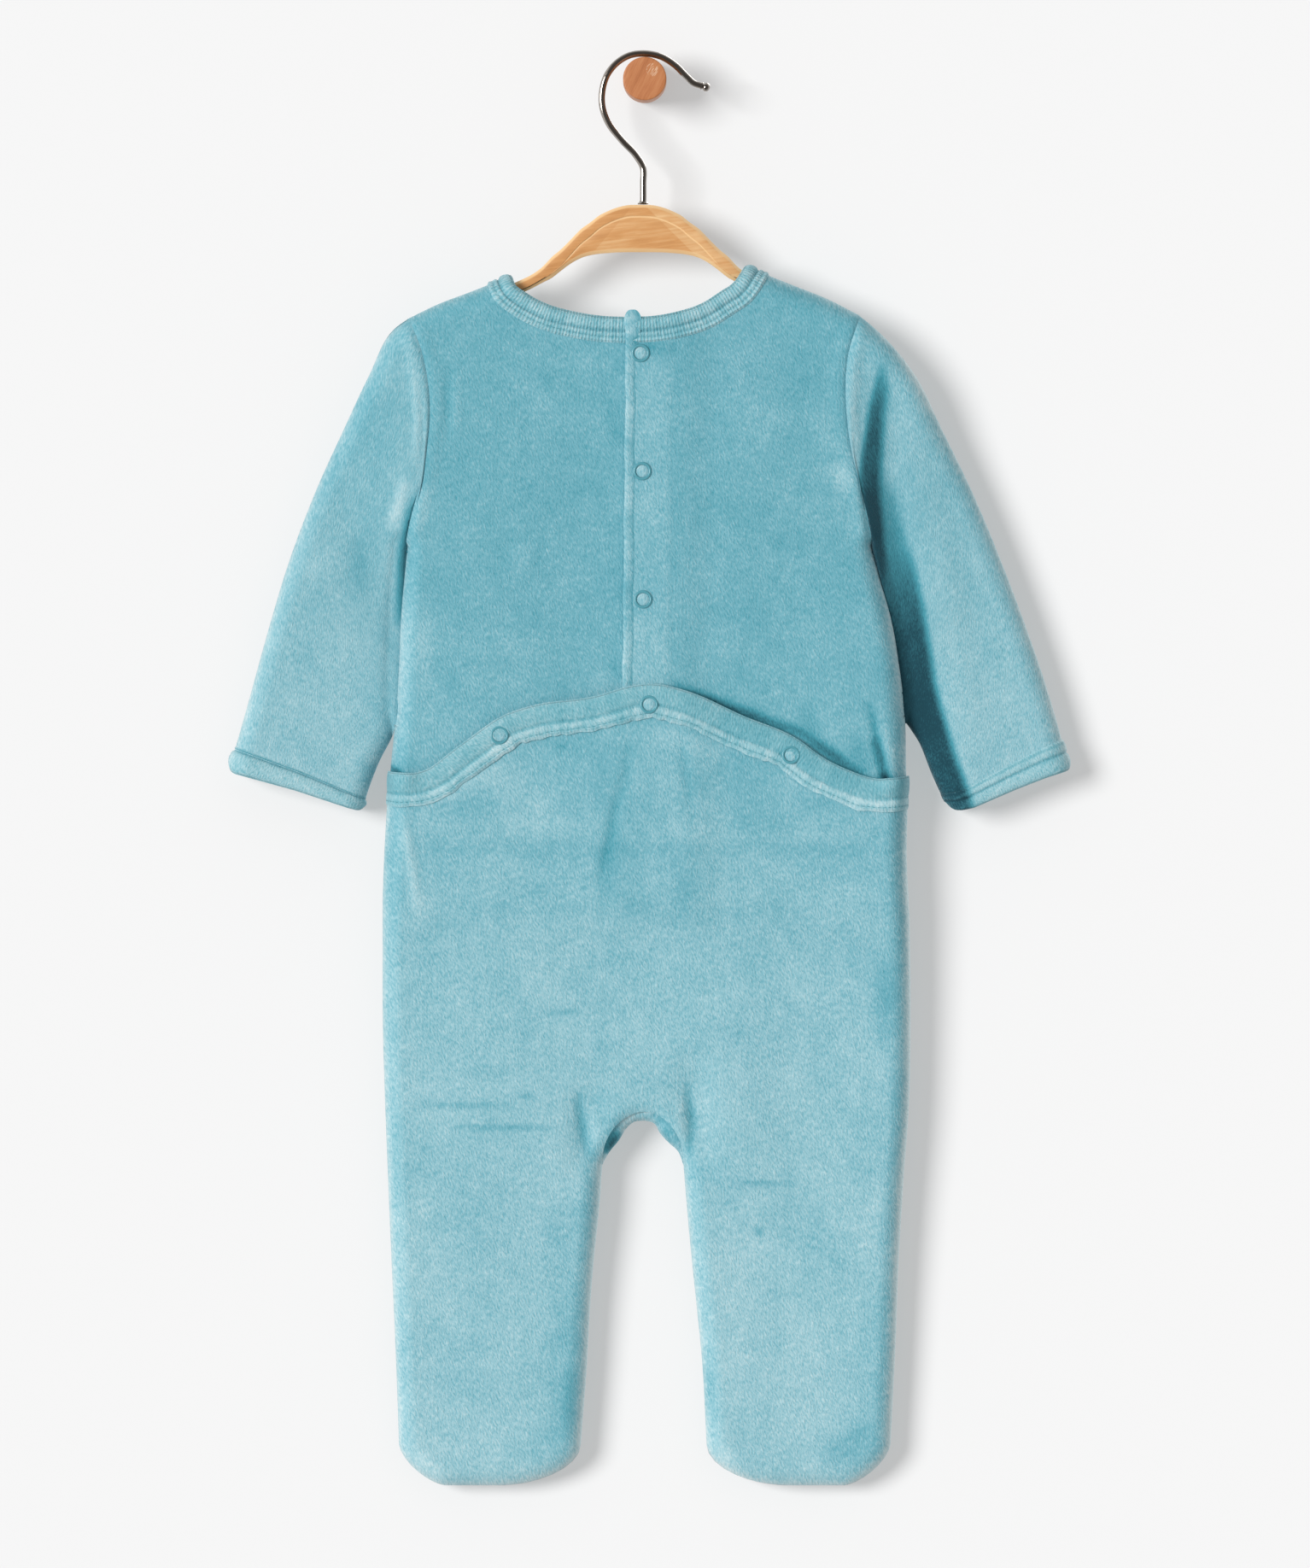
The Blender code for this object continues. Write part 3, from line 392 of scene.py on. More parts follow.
def shaded(points: Array, rows: Sequence[Shade], near: float = 2.3, far: float = 3.4) -> Array:
    """Painted shadow of a zone at each point, as nap, faded over a soft border on either side."""
    drops, *columns = np.array(rows).T
    start, end, nap = (np.interp(points[:, 1], drops, column) for column in columns)
    x = points[:, 0]
    return nap * ease(x, start - near, start + near) * (1 - ease(x, end - far, end + far))


def uneven(places: Array, step: float, seed: int) -> Array:
    """Smooth random values from -1 to 1 along a line, changing every so many millimetres."""
    first = float(np.min(places))
    count = int((np.max(places) - first) / step) + 3
    knots = np.random.default_rng(seed).uniform(-1, 1, count)
    at = (places - first) / step
    number = at.astype(int)
    part = at - number
    part = part * part * (3 - 2 * part)
    return knots[number] * (1 - part) + knots[number + 1] * part


MAIN_FOLDS = {
    Face.BACK: marks(
        (10, -3.5, 0, 0, 124, 150, 134, 300), (10, -3, 0, 0, 134, 300, 150, 356),
        (9, -2.2, 0, 0, -27, 517, -32, 570), (9, -2.2, 0, 0, 25, 500, 29, 570),
        (22, 1.2, 0, 0, 40, 470, 60, 600),
    ),
    Face.FRONT: marks(
        (16, -2, 0, 0, -60, 190, -48, 300), (16, -2, 0, 0, 64, 205, 50, 330),
        (10, -2.4, 0, 0, -28, 490, -34, 575), (10, -2.4, 0, 0, 27, 495, 33, 580),
        (12, -2, 0, 0, -136, 200, -160, 290), (12, -2, 0, 0, 140, 210, 166, 305),
    ),
}


def slack(points: Array, face: Face) -> Array:
    """Slow unevenness of hanging cloth, a fraction of a millimetre."""
    x, drop = points.T
    turn = 0 if face is Face.BACK else 1.7
    waves = 0.30 * np.sin(x / 17 + 0.6 * np.sin(drop / 41 + turn) + turn)
    waves += 0.26 * np.sin(x / 31 - drop / 90 + 2.1 + turn)
    return waves + 0.22 * np.sin(drop / 37 + 0.8 * np.sin(x / 29) + 0.7 * turn)


class GarmentForm:
    """The hollow form that all cloth pieces lie on: two faces that round into each other at the outline."""

    CHUNK = 3000
    DEEP = 26
    COARSE = 4
    ON_EDGE = 0.02
    MOST_OUTSIDE = 1

    def __init__(self) -> None:
        """Build the closed outline, left half down and right half back up."""
        points = np.vstack([self.half_outline(Side.LEFT), self.half_outline(Side.RIGHT)[::-1][1:-1]])
        keep = np.linalg.norm(np.roll(points, -1, axis=0) - points, axis=1) > 1e-6
        self.starts = points[keep]
        ends = np.roll(self.starts, -1, axis=0)
        self.runs = ends - self.starts
        self.squares = (self.runs**2).sum(axis=1)
        area = (self.starts[:, 0] * ends[:, 1]).sum() - (self.starts[:, 1] * ends[:, 0]).sum()
        self.normals = unit(np.column_stack([-self.runs[:, 1], self.runs[:, 0]])) * np.sign(area)

    @staticmethod
    def half_outline(side: Side) -> Array:
        """Half of the line on which the garment's faces meet, from above the neck to the crotch."""
        shares = np.linspace(0, 1, len(SHOULDER) * CURVE_STEPS)
        shoulder, outer, inner = (
            flowing_line(side_points(rows, side), shares) for rows in (SHOULDER, SLEEVE_OUTER, SLEEVE_INNER)
        )
        past_ends = [line[-1] + SLEEVE_RUN_ON * (line[-1] - line[-3]) for line in (outer, inner)]
        down = np.linspace(UNDERARM, FOOT_TOP, len(BODY_EDGE) * CURVE_STEPS)
        up = np.linspace(FOOT_TOP, INSEAM[0].drop, len(INSEAM) * CURVE_STEPS)[1:]
        corner = np.linspace(0, 1, 10)
        body = [edge_line(BODY_EDGE, side, down), foot_corner(side, True, corner)[1:]]
        legs = [foot_corner(side, False, corner[::-1]), edge_line(INSEAM, side, up)]
        arch = crotch_arc(side, corner[::-1])[1:]
        return np.vstack([shoulder, outer[1:], past_ends, inner[::-1], *body, *legs, arch])

    def measure(self, points: Array) -> tuple[Array, Array]:
        """How far points lie inside the outline.

        Args:
            points: (x, drop) of the points, none of them far outside.

        Returns:
            The distances inside, at most DEEP, and the unit directions inwards.
        """
        inside = np.full(len(points), float(self.DEEP))
        inward = np.tile([1.0, 0.0], (len(points), 1))
        coarse = self.starts[:: self.COARSE]
        for first in range(0, len(points), self.CHUNK):
            chunk = points[first : first + self.CHUNK]
            far = np.min(((chunk[:, None, :] - coarse[None]) ** 2).sum(axis=2), axis=1)
            close = np.nonzero(far < self.DEEP**2)[0]
            if len(close) == 0:
                continue
            offset = chunk[close, None, :] - self.starts[None]
            share = np.clip((offset * self.runs).sum(axis=2) / self.squares, 0, 1)
            apart = offset - share[..., None] * self.runs
            gap = (apart**2).sum(axis=2)
            best = gap.argmin(axis=1)
            rows = np.arange(len(close))
            length = np.sqrt(gap[rows, best])
            side = (apart[rows, best] * self.normals[best]).sum(axis=1)
            sign = np.where((side >= 0) | (length > self.MOST_OUTSIDE), 1, -1)
            away = apart[rows, best] / np.maximum(length, 1e-9)[:, None] * sign[:, None]
            inside[first + close] = length * sign
            inward[first + close] = np.where((length < self.ON_EDGE)[:, None], self.normals[best], away)
        return inside, inward

    def place(
        self,
        points: Array,
        face: Face,
        lift: Array,
        depth: Optional[Array] = None,
        mid: float | Array = HANG_PLANE,
        relief: float | Array = 0,
        least: float | Array = 0,
    ) -> Array:
        """Lay flat points on the form.

        Args:
            points: (x, drop) of the points, in any shape of array.
            face: the side of the garment they lie on.
            lift: how far they stand out from the form.
            depth: half depth of the form there, or the body's own.
            mid: the form's middle plane there.
            relief: height of folds there, without the main ones.
            least: distance inside the outline that a point is taken to have at least.

        Returns:
            The points as (x, y, z), with one more axis than the flat ones had.
        """
        shape = points.shape[:-1]
        flat = points.reshape(-1, 2)
        depth = body_depth(points) if depth is None else depth
        depth, mid, lift, relief, least = (
            np.broadcast_to(value, shape).reshape(-1) for value in (depth, mid, lift, relief, least)
        )
        inside, inward = self.measure(flat)
        turn = np.arccos(1 - np.clip(np.maximum(inside, least) / EDGE_ROUND, 0, 1))
        folds = spread_marks(flat, MAIN_FOLDS[face])[0] + slack(flat, face) + relief
        moved = flat - inward * (lift * np.cos(turn))[:, None]
        proud = (depth + lift + folds) * np.sin(turn) + SEAM_GAP / 2
        y = mid - face.value * proud
        return np.column_stack([moved[:, 0], y, -moved[:, 1]]).reshape(*shape, 3)


FORM = GarmentForm()


# Finishes.


def linear(hex_colour: str) -> tuple[float, float, float, float]:
    """An sRGB hex colour as the linear colour that a shader takes."""
    parts = [int(hex_colour[k : k + 2], 16) / 255 for k in (1, 3, 5)]
    turned = [c / 12.92 if c <= 0.04045 else ((c + 0.055) / 1.055) ** 2.4 for c in parts]
    return (*turned, 1)


def fill_sockets(node: bpy.types.Node, values: dict) -> None:
    """Give a node's sockets their numbers, hex colours, or the outputs that they take."""
    for name, value in values.items():
        if isinstance(value, Socket):
            node.id_data.links.new(value, node.inputs[name])
        else:
            node.inputs[name].default_value = linear(value) if isinstance(value, str) else value


def add_node(
    tree: Tree, kind: str, sockets: dict | Sequence = (), output: int | str = 0, **settings: object
) -> Socket:
    """Add a node with its settings and links.

    Args:
        tree: the node tree that it goes into.
        kind: the node's type, without the leading ShaderNode.
        sockets: sockets' names or numbers with their values, or the first sockets' values in order.
        output: which of its outputs is wanted.
        settings: the node's properties; "stops" fills a colour ramp with places and colours.

    Returns:
        The wanted output.
    """
    node = tree.nodes.new("ShaderNode" + kind)
    for number, (place, colour) in enumerate(settings.pop("stops", ())):
        ramp = node.color_ramp.elements
        stop = ramp[number] if number < len(ramp) else ramp.new(1)
        stop.position = place
        stop.color = linear(colour)
    for name, value in settings.items():
        setattr(node, name, value)
    fill_sockets(node, sockets if isinstance(sockets, dict) else dict(enumerate(sockets)))
    return node.outputs[output]


def weighted_sum(tree: Tree, start: object, *parts: tuple, centre: float = 0) -> Socket:
    """A start plus each part's distance from the centre times its weight."""
    for part, weight in parts:
        away = add_node(tree, "Math", (part, centre), operation="SUBTRACT") if centre else part
        start = add_node(tree, "Math", (away, weight, start), operation="MULTIPLY_ADD")
    return start


def lumps(
    tree: Tree,
    place: Socket,
    size_mm: Numbers,
    detail: float = 2,
    turn: float = 0,
    **more: float,
) -> Socket:
    """Value of a noise whose lumps have the given size, in millimetres, along each axis turned about z."""
    sizes = {"Vector": place, "Scale": [MM * size for size in size_mm], "Rotation": (0, 0, turn)}
    scaled = add_node(tree, "Mapping", sizes, vector_type="TEXTURE")
    return add_node(tree, "TexNoise", {"Vector": scaled, "Scale": 1, "Detail": detail, **more})


@dataclass(frozen=True)
class Finish:
    """What a piece is made of; each kind has its own pattern, constants and relief."""

    name: str

    LOOKS = {}
    BUMP_STRENGTH = 0
    bump_mm = 0

    def pattern(self, tree: Tree) -> tuple[Socket, Optional[Socket]]:
        """Colour and height of the surface."""
        raise NotImplementedError

    @cache
    def material(self) -> bpy.types.Material:
        """The finish's material, made once."""
        made = bpy.data.materials.new(self.name)
        made.use_nodes = True
        tree = made.node_tree
        colour, height = self.pattern(tree)
        sockets = {"Base Color": colour, **self.LOOKS}
        if height is not None:
            relief = {"Strength": self.BUMP_STRENGTH, "Distance": MM * self.bump_mm, "Height": height}
            sockets["Normal"] = add_node(tree, "Bump", relief)
        fill_sockets(tree.nodes["Principled BSDF"], sockets)
        return made


@dataclass(frozen=True)
class Velour(Finish):
    """Cotton velour: a short knitted pile, laid flat by brushing.

    The eye gets a soft body colour that pales where the pile leans to the light, a grain of fine
    flecks where the pile parts, and a painted highlight along every turned edge; the tone attribute
    also carries painted highlights on ridges and painted shade and shadow in creases, in gaps and
    where the body shades the right sleeve, down to the shadow stop.
    """

    deep: str
    middle: str
    pale: str
    light: str
    wale_mm: float
    wale_share: float
    wale_height: float
    fleck_mm: tuple[float, float, float] = (0.8, 2.3, 1.7)
    fleck_share: float = 0.80
    fleck_turn: float = -0.34
    bump_mm: float = 0.68
    # The shadow stop is the colour of the deepest painted shadow, in deep folds and in the body's shadow on
    # the right sleeve.
    shadow: str = "#1a4450"

    LOOKS = {
        "Roughness": 0.9, "Specular IOR Level": 0.18,
        "Sheen Weight": 0.42, "Sheen Roughness": 0.38, "Sheen Tint": "#d4e6ea",
    }
    BUMP_STRENGTH = 0.8

    def pattern(self, tree: Tree) -> tuple[Socket, Socket]:
        """Pile, on the cut's own coordinates, with the brushing and the painted light and shade of each
        point.
        """
        cut = add_node(tree, "UVMap", uv_map=CUT_MAP)
        nap = add_node(tree, "Attribute", output="Fac", attribute_name=TONE_SHIFT)
        # Brushed patches: hands leave lighter and darker places a few centimetres across.
        patches = lumps(tree, cut, (34, 46, 40), 3, Roughness=0.55)
        # Mottling where the pile leans in small tufts.
        tufts = lumps(tree, cut, (6.5, 9, 8), 3, Roughness=0.6)
        # Flecks: real ones are about 1 mm, drawn a little coarser so that they show.
        flecks = lumps(tree, cut, self.fleck_mm, 2, self.fleck_turn, Roughness=0.62, Distortion=0.35)
        # Wales of the knit: real ones are 0.9 mm apart, drawn coarser so that they show.
        scale = 1 / (MM * self.wale_mm)
        along = add_node(tree, "Mapping", {"Vector": cut, "Scale": (scale, scale * 0.12, scale)})
        waves = {"Vector": along, "Scale": 0.3142, "Distortion": 1.4, "Detail": 2, "Detail Scale": 1.2}
        wales = add_node(tree, "TexWave", waves, 1, wave_type="BANDS", bands_direction="X")
        lean_and_painted_light = weighted_sum(tree, 0.5, (nap, 0.30))
        parts = ((patches, 0.30), (tufts, 0.26), (flecks, self.fleck_share), (wales, self.wale_share))
        tone = weighted_sum(tree, lean_and_painted_light, *parts, centre=0.5)
        # Tones run from -0.6, the painted shadow of deep folds and cast shadows, to 1, where the pile leans
        # fully to the light or a painted highlight lies.
        tone = weighted_sum(tree, 0.375, (tone, 0.625))
        places = (0, 0.45, 0.6375, 0.775, 0.969)
        stops = zip(places, (self.shadow, self.deep, self.middle, self.pale, self.light))
        height = weighted_sum(tree, flecks, (wales, self.wale_height))
        return add_node(tree, "ValToRGB", [tone], stops=stops), height


@dataclass(frozen=True)
class Thread(Finish):
    """Polyester sewing thread, dyed to match: small dashes, a little glossier and deeper than the pile."""

    colour: str

    LOOKS = {"Roughness": 0.6, "Sheen Weight": 0.2}

    def pattern(self, tree: Tree) -> tuple[Socket, None]:
        """Plies half a millimetre wide."""
        ply = lumps(tree, add_node(tree, "TexCoord", output="Object"), (0.5, 0.5, 0.5))
        layers = {0: 0.35, 6: self.colour, 7: ply}
        return add_node(tree, "Mix", layers, 2, data_type="RGBA", blend_type="MULTIPLY"), None


@dataclass(frozen=True)
class Enamel(Finish):
    """Baked enamel on stamped brass: an even satin colour with a soft highlight round each ring."""

    colour: str
    worn: str
    bump_mm: float = 0.04

    LOOKS = {"Roughness": 0.34, "Coat Weight": 0.25, "Coat Roughness": 0.2}
    BUMP_STRENGTH = 0.3

    def pattern(self, tree: Tree) -> tuple[Socket, Socket]:
        """Orange peel of the enamel, about half a millimetre."""
        peel = lumps(tree, add_node(tree, "TexCoord", output="Object"), (0.6, 0.6, 0.6))
        layers = {0: peel, 6: self.colour, 7: self.worn}
        return add_node(tree, "Mix", layers, 2, data_type="RGBA", blend_type="MIX"), peel


@dataclass(frozen=True)
class Beech(Finish):
    """Beech in three tones, from its deep grain lines to its pale wood."""

    deep: str
    middle: str
    pale: str

    def tones(self, tree: Tree, tone: object, places: Numbers) -> Socket:
        """The wood's colour at a tone, with its three colours at the given places."""
        return add_node(tree, "ValToRGB", [tone], stops=zip(places, (self.deep, self.middle, self.pale)))


@dataclass(frozen=True)
class LacqueredBeech(Beech):
    """Laminated beech, sawn, routed and lacquered.

    The eye gets honey-coloured wood with slanting strips of the lamination, fine grain along the
    arm and a satin shine.
    """

    bump_mm: float = 0.12

    LOOKS = {"Roughness": 0.38, "Coat Weight": 0.3, "Coat Roughness": 0.25}
    BUMP_STRENGTH = 0.25

    def pattern(self, tree: Tree) -> tuple[Socket, Socket]:
        """Grain along the arm, the lamination's joints, and the routed cuts."""
        place = add_node(tree, "TexCoord", output="Object")
        turned = add_node(tree, "Mapping", {"Vector": place, "Rotation": (0, 0.12, 0)})
        # Grain lines a millimetre wide and some centimetres long.
        grain = lumps(tree, turned, (26, 3, 1.3), 4, Roughness=0.6)
        clouds = lumps(tree, turned, (22, 20, 7))
        pores = lumps(tree, turned, (3, 0.5, 0.35), 1)
        x, z = (add_node(tree, "SeparateXYZ", [place], axis) for axis in "XZ")
        # Two slanting joints of the lamination, where the grain changes its tone.
        slants = [weighted_sum(tree, x, (z, slope)) for slope in (1.02, -0.85)]
        first = add_node(tree, "Math", (slants[0], -0.0665), operation="GREATER_THAN")
        second = add_node(tree, "Math", (slants[1], 0.0495), operation="LESS_THAN")
        tone = weighted_sum(tree, 0.14, (grain, 0.50), (clouds, 0.36), (first, 0.10), (second, -0.07))
        colour = self.tones(tree, tone, (0.2, 0.55, 0.9))
        # The routed bevels cut across the grain and look paler.
        routed = add_node(tree, "Attribute", output="Fac", attribute_name=TONE_SHIFT)
        for how, factor, above in (("MULTIPLY", 0.12, pores), ("MIX", routed, self.pale)):
            layers = {0: factor, 6: colour, 7: above}
            colour = add_node(tree, "Mix", layers, 2, data_type="RGBA", blend_type=how)
        return colour, grain


@dataclass(frozen=True)
class OiledBeech(Beech):
    """Turned beech dowel, sanded and oiled: a warm end with slanting growth rings and a few pale scuffs."""

    scuff: str
    bump_mm: float = 0.1

    LOOKS = {"Roughness": 0.52}
    BUMP_STRENGTH = 0.3

    def pattern(self, tree: Tree) -> tuple[Socket, Socket]:
        """Growth rings, grain and scuffs."""
        place = add_node(tree, "TexCoord", output="Object")
        ways = ((0, -0.46, 0), (0, -0.62, 0))
        turned, slanted = (add_node(tree, "Mapping", {"Vector": place, "Rotation": way}) for way in ways)
        # Growth rings 2 to 4 mm apart, cut nearly along their run.
        rings = lumps(tree, turned, (2.6, 60, 30), 3, Roughness=0.55, Distortion=0.25)
        grain = lumps(tree, turned, (0.5, 20, 5))
        colour = self.tones(tree, weighted_sum(tree, -0.04, (rings, 0.72), (grain, 0.34)), (0.25, 0.5, 0.8))
        # Scuffs: pale scratches of a few millimetres, high on the right.
        scratch = lumps(tree, slanted, (0.55, 9, 3.4), 0)
        squares = []
        for axis, scale, offset in (("X", 330, -1.25), ("Z", 300, -1.35)):
            away = weighted_sum(tree, offset, (add_node(tree, "SeparateXYZ", [place], axis), scale))
            squares.append(add_node(tree, "Math", (away, 2), operation="POWER"))
        far = add_node(tree, "Math", squares, operation="ADD")
        near = add_node(tree, "Math", (1, far), operation="SUBTRACT")
        limits = ((scratch, 0.56), (near, 0))
        both = [add_node(tree, "Math", limit, operation="GREATER_THAN") for limit in limits]
        worn = add_node(tree, "Math", both, operation="MULTIPLY")
        factor = add_node(tree, "Math", (worn, 0.55), operation="MULTIPLY")
        layers = {0: factor, 6: colour, 7: self.scuff}
        return add_node(tree, "Mix", layers, 2, data_type="RGBA", blend_type="MIX"), grain


@dataclass(frozen=True)
class Chrome(Finish):
    """Bent steel wire, chromium plated and polished: a mirror with faint drawing lines along the wire."""

    colour: str

    LOOKS = {"Metallic": 1, "Roughness": 0.13}

    def pattern(self, tree: Tree) -> tuple[Socket, None]:
        """A faint haze in patches of a few millimetres."""
        haze = lumps(tree, add_node(tree, "TexCoord", output="Object"), (4, 4, 4), 3)
        layers = {0: 0.18, 6: self.colour, 7: haze}
        return add_node(tree, "Mix", layers, 2, data_type="RGBA", blend_type="MULTIPLY"), None


CUT_MAP = "cut"
# Each point's tone shift: on velour the pile's nap together with painted highlights, painted shade and
# painted shadow; on the hanger the paleness of its cut edges.
TONE_SHIFT = "nap"
VELOUR = Velour("cotton_velour", "#4592a1", "#6fa9b6", "#96bfc8", "#c6dadd", 1.8, 0, 0.03)
TRIM = Velour("cotton_velour_trim", "#4c93a1", "#76adb8", "#9ac1c9", "#c6dbde", 1.8, 0.06, 0.10)
RIBBED_TRIM = Velour("ribbed_velour_trim", "#4c93a1", "#76adb8", "#9ac1c9", "#c6dbde", 1.6, 0.20, 0.45)
THREAD = Thread("matching_thread", "#4e919e")
ENAMEL = Enamel("ring_enamel", "#4f95a2", "#4b929f")
HANGER_WOOD = LacqueredBeech("lacquered_beech", "#b17339", "#d3985c", "#f0ca96")
PEG_WOOD = OiledBeech("oiled_beech", "#9f5c2e", "#b77344", "#c68a5b", "#dfbfa0")
STEEL = Chrome("chrome_plate", "#a8a19a")


# Meshes.


def add_mesh(
    name: str,
    points: Array,
    faces: Sequence[Sequence[int]],
    finish: Finish,
    slot: str,
    cut: Optional[Array] = None,
    nap: float | Array = 0,
    crease_degrees: float = 42,
    stands_for: Sequence[str] = (),
) -> Object:
    """New piece of the object, riding on the body.

    Args:
        name: the piece's name.
        points: its points in millimetres, in any shape of array.
        faces: point numbers of its faces.
        finish: what it is made of.
        slot: the name of a material slot; not used.
        cut: each point's place on the flat cut, in millimetres, or its own x and z.
        nap: how far the pile of each point leans to the light.
        crease_degrees: edges sharper than this stay sharp.
        stands_for: the nodes that it replaces.

    Returns:
        The new object.
    """
    points = np.asarray(points, float).reshape(-1, 3)
    mesh = bpy.data.meshes.new(name)
    mesh.from_pydata((points * MM).tolist(), [], [tuple(int(k) for k in face) for face in faces])
    shape = bmesh.new()
    shape.from_mesh(mesh)
    if shape.calc_volume(signed=True) < 0:
        bmesh.ops.reverse_faces(shape, faces=shape.faces)
    shape.to_mesh(mesh)
    shape.free()
    mesh.shade_smooth()
    mesh.set_sharp_from_angle(angle=math.radians(crease_degrees))
    corners = np.zeros(len(mesh.loops), np.int32)
    mesh.loops.foreach_get("vertex_index", corners)
    flat = points[:, [0, 2]] if cut is None else cut.reshape(-1, 2)
    mesh.uv_layers.new(name=CUT_MAP).data.foreach_set("uv", (flat[corners] * MM).astype(np.float32).ravel())
    naps = np.broadcast_to(nap if np.ndim(nap) == 0 else np.ravel(nap), len(points))
    mesh.attributes.new(TONE_SHIFT, "FLOAT", "POINT").data.foreach_set("value", naps.astype(np.float32))
    mesh.materials.append(finish.material())
    made = bpy.data.objects.new(name, mesh)
    bpy.context.scene.collection.objects.link(made)
    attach(made, BODY)
    if stands_for:
        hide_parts(*stands_for)
    LOG.info("%s: %d points", name, len(points))
    return made


def numbered(grid: Array) -> Array:
    """Numbers of a grid's points, row by row."""
    return np.arange(grid.shape[0] * grid.shape[1]).reshape(grid.shape[:2])


def grid_faces(index: Array, ring: bool = False, wrapped: bool = False) -> Array:
    """Four-cornered faces of a grid of point numbers.

    Args:
        index: the numbers.
        ring: whether the last column runs on into the first.
        wrapped: whether the last row runs on into the first.

    Returns:
        The faces.
    """
    if wrapped:
        index = np.concatenate([index, index[:1]], axis=0)
    if ring:
        index = np.concatenate([index, index[:, :1]], axis=1)
    corners = (index[:-1, :-1], index[:-1, 1:], index[1:, 1:], index[1:, :-1])
    return np.stack([corner.reshape(-1) for corner in corners], axis=1)


def capped_tube(rings: Array) -> list[list[int]]:
    """Faces of a tube through closed rings of points, with both ends capped."""
    index = numbered(rings)
    return [*grid_faces(index, ring=True).tolist(), index[0, ::-1].tolist(), index[-1].tolist()]


def circle(count: int) -> tuple[Array, Array]:
    """Cosines and sines of evenly spaced angles round a circle."""
    angles = np.arange(count) * 2 * math.pi / count
    return np.cos(angles), np.sin(angles)


def turned(
    profile: Sequence[tuple[float, float]], sides: int, middle: Numbers, axes: Sequence[Numbers]
) -> Array:
    """Turn a profile about an axis.

    Args:
        profile: (radius, height) of its points.
        sides: how many places there are round it.
        middle: where the axis starts.
        axes: the directions of the first spoke, of the one at a right angle to it, and of the axis.

    Returns:
        The points, with one row for each place round the axis.
    """
    across, other, along = np.asarray(axes, float)
    cosines, sines = circle(sides)
    spokes = (np.outer(cosines, across) + np.outer(sines, other))[:, None]
    radii, heights = np.array(profile).T[..., None]
    return np.asarray(middle, float) + spokes * radii + along * heights


def shell_faces(quads: Array, size: int) -> list[tuple[int, ...]]:
    """Faces of a closed shell: an outer skin, an inner one and the rim between them."""
    edges = np.concatenate([np.stack([quads[:, k], quads[:, (k + 1) % 4]], axis=1) for k in range(4)])
    edges = edges[edges[:, 0] != edges[:, 1]]
    _, first, count = np.unique(np.sort(edges, axis=1), axis=0, return_index=True, return_counts=True)
    rim = edges[first[count == 1]]
    return [*quads, *(size + quads[:, ::-1]), *((b, a, size + a, size + b) for a, b in rim)]


def two_halves(left: Array, right: Array, joined: int) -> tuple[Array, Array]:
    """Points and faces of two half grids that share their inner column over the first rows."""
    left_index = numbered(left)
    right_index = left_index + left_index.size
    right_index[:joined, -1] = left_index[:joined, -1]
    points = np.vstack([left.reshape(-1, 2), right.reshape(-1, 2)])
    quads = np.concatenate([grid_faces(left_index), grid_faces(right_index)[:, ::-1]])
    used, flat = np.unique(quads, return_inverse=True)
    return points[used], flat.reshape(-1, 4)


def between(first: Array, last: Array, steps: Array) -> Array:
    """Grid of points between the two ends of each row."""
    steps = np.asarray(steps)[None, :, None]
    return np.asarray(first)[:, None, :] * (1 - steps) + np.asarray(last)[:, None, :] * steps


def bend_top(grid: Array, top: Array, fade_drop: float) -> Array:
    """Bend a grid's first row onto a top edge, and fade that out down to a drop."""
    fade = 1 - ease(grid[:, :1, 1], grid[0, 0, 1], fade_drop)
    return grid + (top - grid[0])[None] * fade[:, :, None]


def turning(steps: int) -> Array:
    """Shares that start close together, for cloth that turns over an edge."""
    return 1 - np.cos(np.linspace(0, math.pi / 2, steps + 1))


def turning_shares(edge: float, turn_steps: int, middle_steps: int) -> Array:
    """Shares across a panel, close together at both ends."""
    turn = edge * turning(turn_steps)
    middle = np.linspace(edge, 1 - edge, middle_steps + 1)[1:-1]
    return np.concatenate([turn, middle, 1 - turn[::-1]])


def turning_drops(start: float, end: float, step: float, turn_steps: int = 7) -> Array:
    """Drops of rows, close together at the top edge."""
    count = max(2, round((end - start - EDGE_ROUND) / step))
    return np.concatenate(
        [start + EDGE_ROUND * turning(turn_steps)[:-1], np.linspace(start + EDGE_ROUND, end, count)]
    )


PANEL_SHARES = {Face.FRONT: turning_shares(0.085, 8, 44), Face.BACK: turning_shares(0.085, 10, 66)}
ROW_STEP = {Face.FRONT: 2.4, Face.BACK: 1.7}
TORSO_ROWS = {face: turning_drops(SHOULDER_TIP, UNDERARM, ROW_STEP[face]) for face in Face}
CROTCH_ROWS = {Face.FRONT: 15, Face.BACK: 19}
SLEEVE_ACROSS = turning_shares(0.11, 8, 38)
CROTCH_DROPS = (534, 565)
TORSO_END = CROTCH_DROPS[0] - 1
FOOT_ROWS = 12
# Where the neck starts along a panel's top row, and how its columns share out the neck.
TOP_ROW_SPLIT = 0.39
NECK_COLUMNS = ((0.39, 0.51, 0.63, 0.75, 0.87, 0.965, 1), (0, 0.02, 0.07, 0.19, 0.4, 0.68, 1))


def down_to(face: Face, end: float) -> Array:
    """Drops of a panel's rows from the shoulder to an end."""
    return np.concatenate([TORSO_ROWS[face], np.arange(UNDERARM + ROW_STEP[face], end, ROW_STEP[face])])


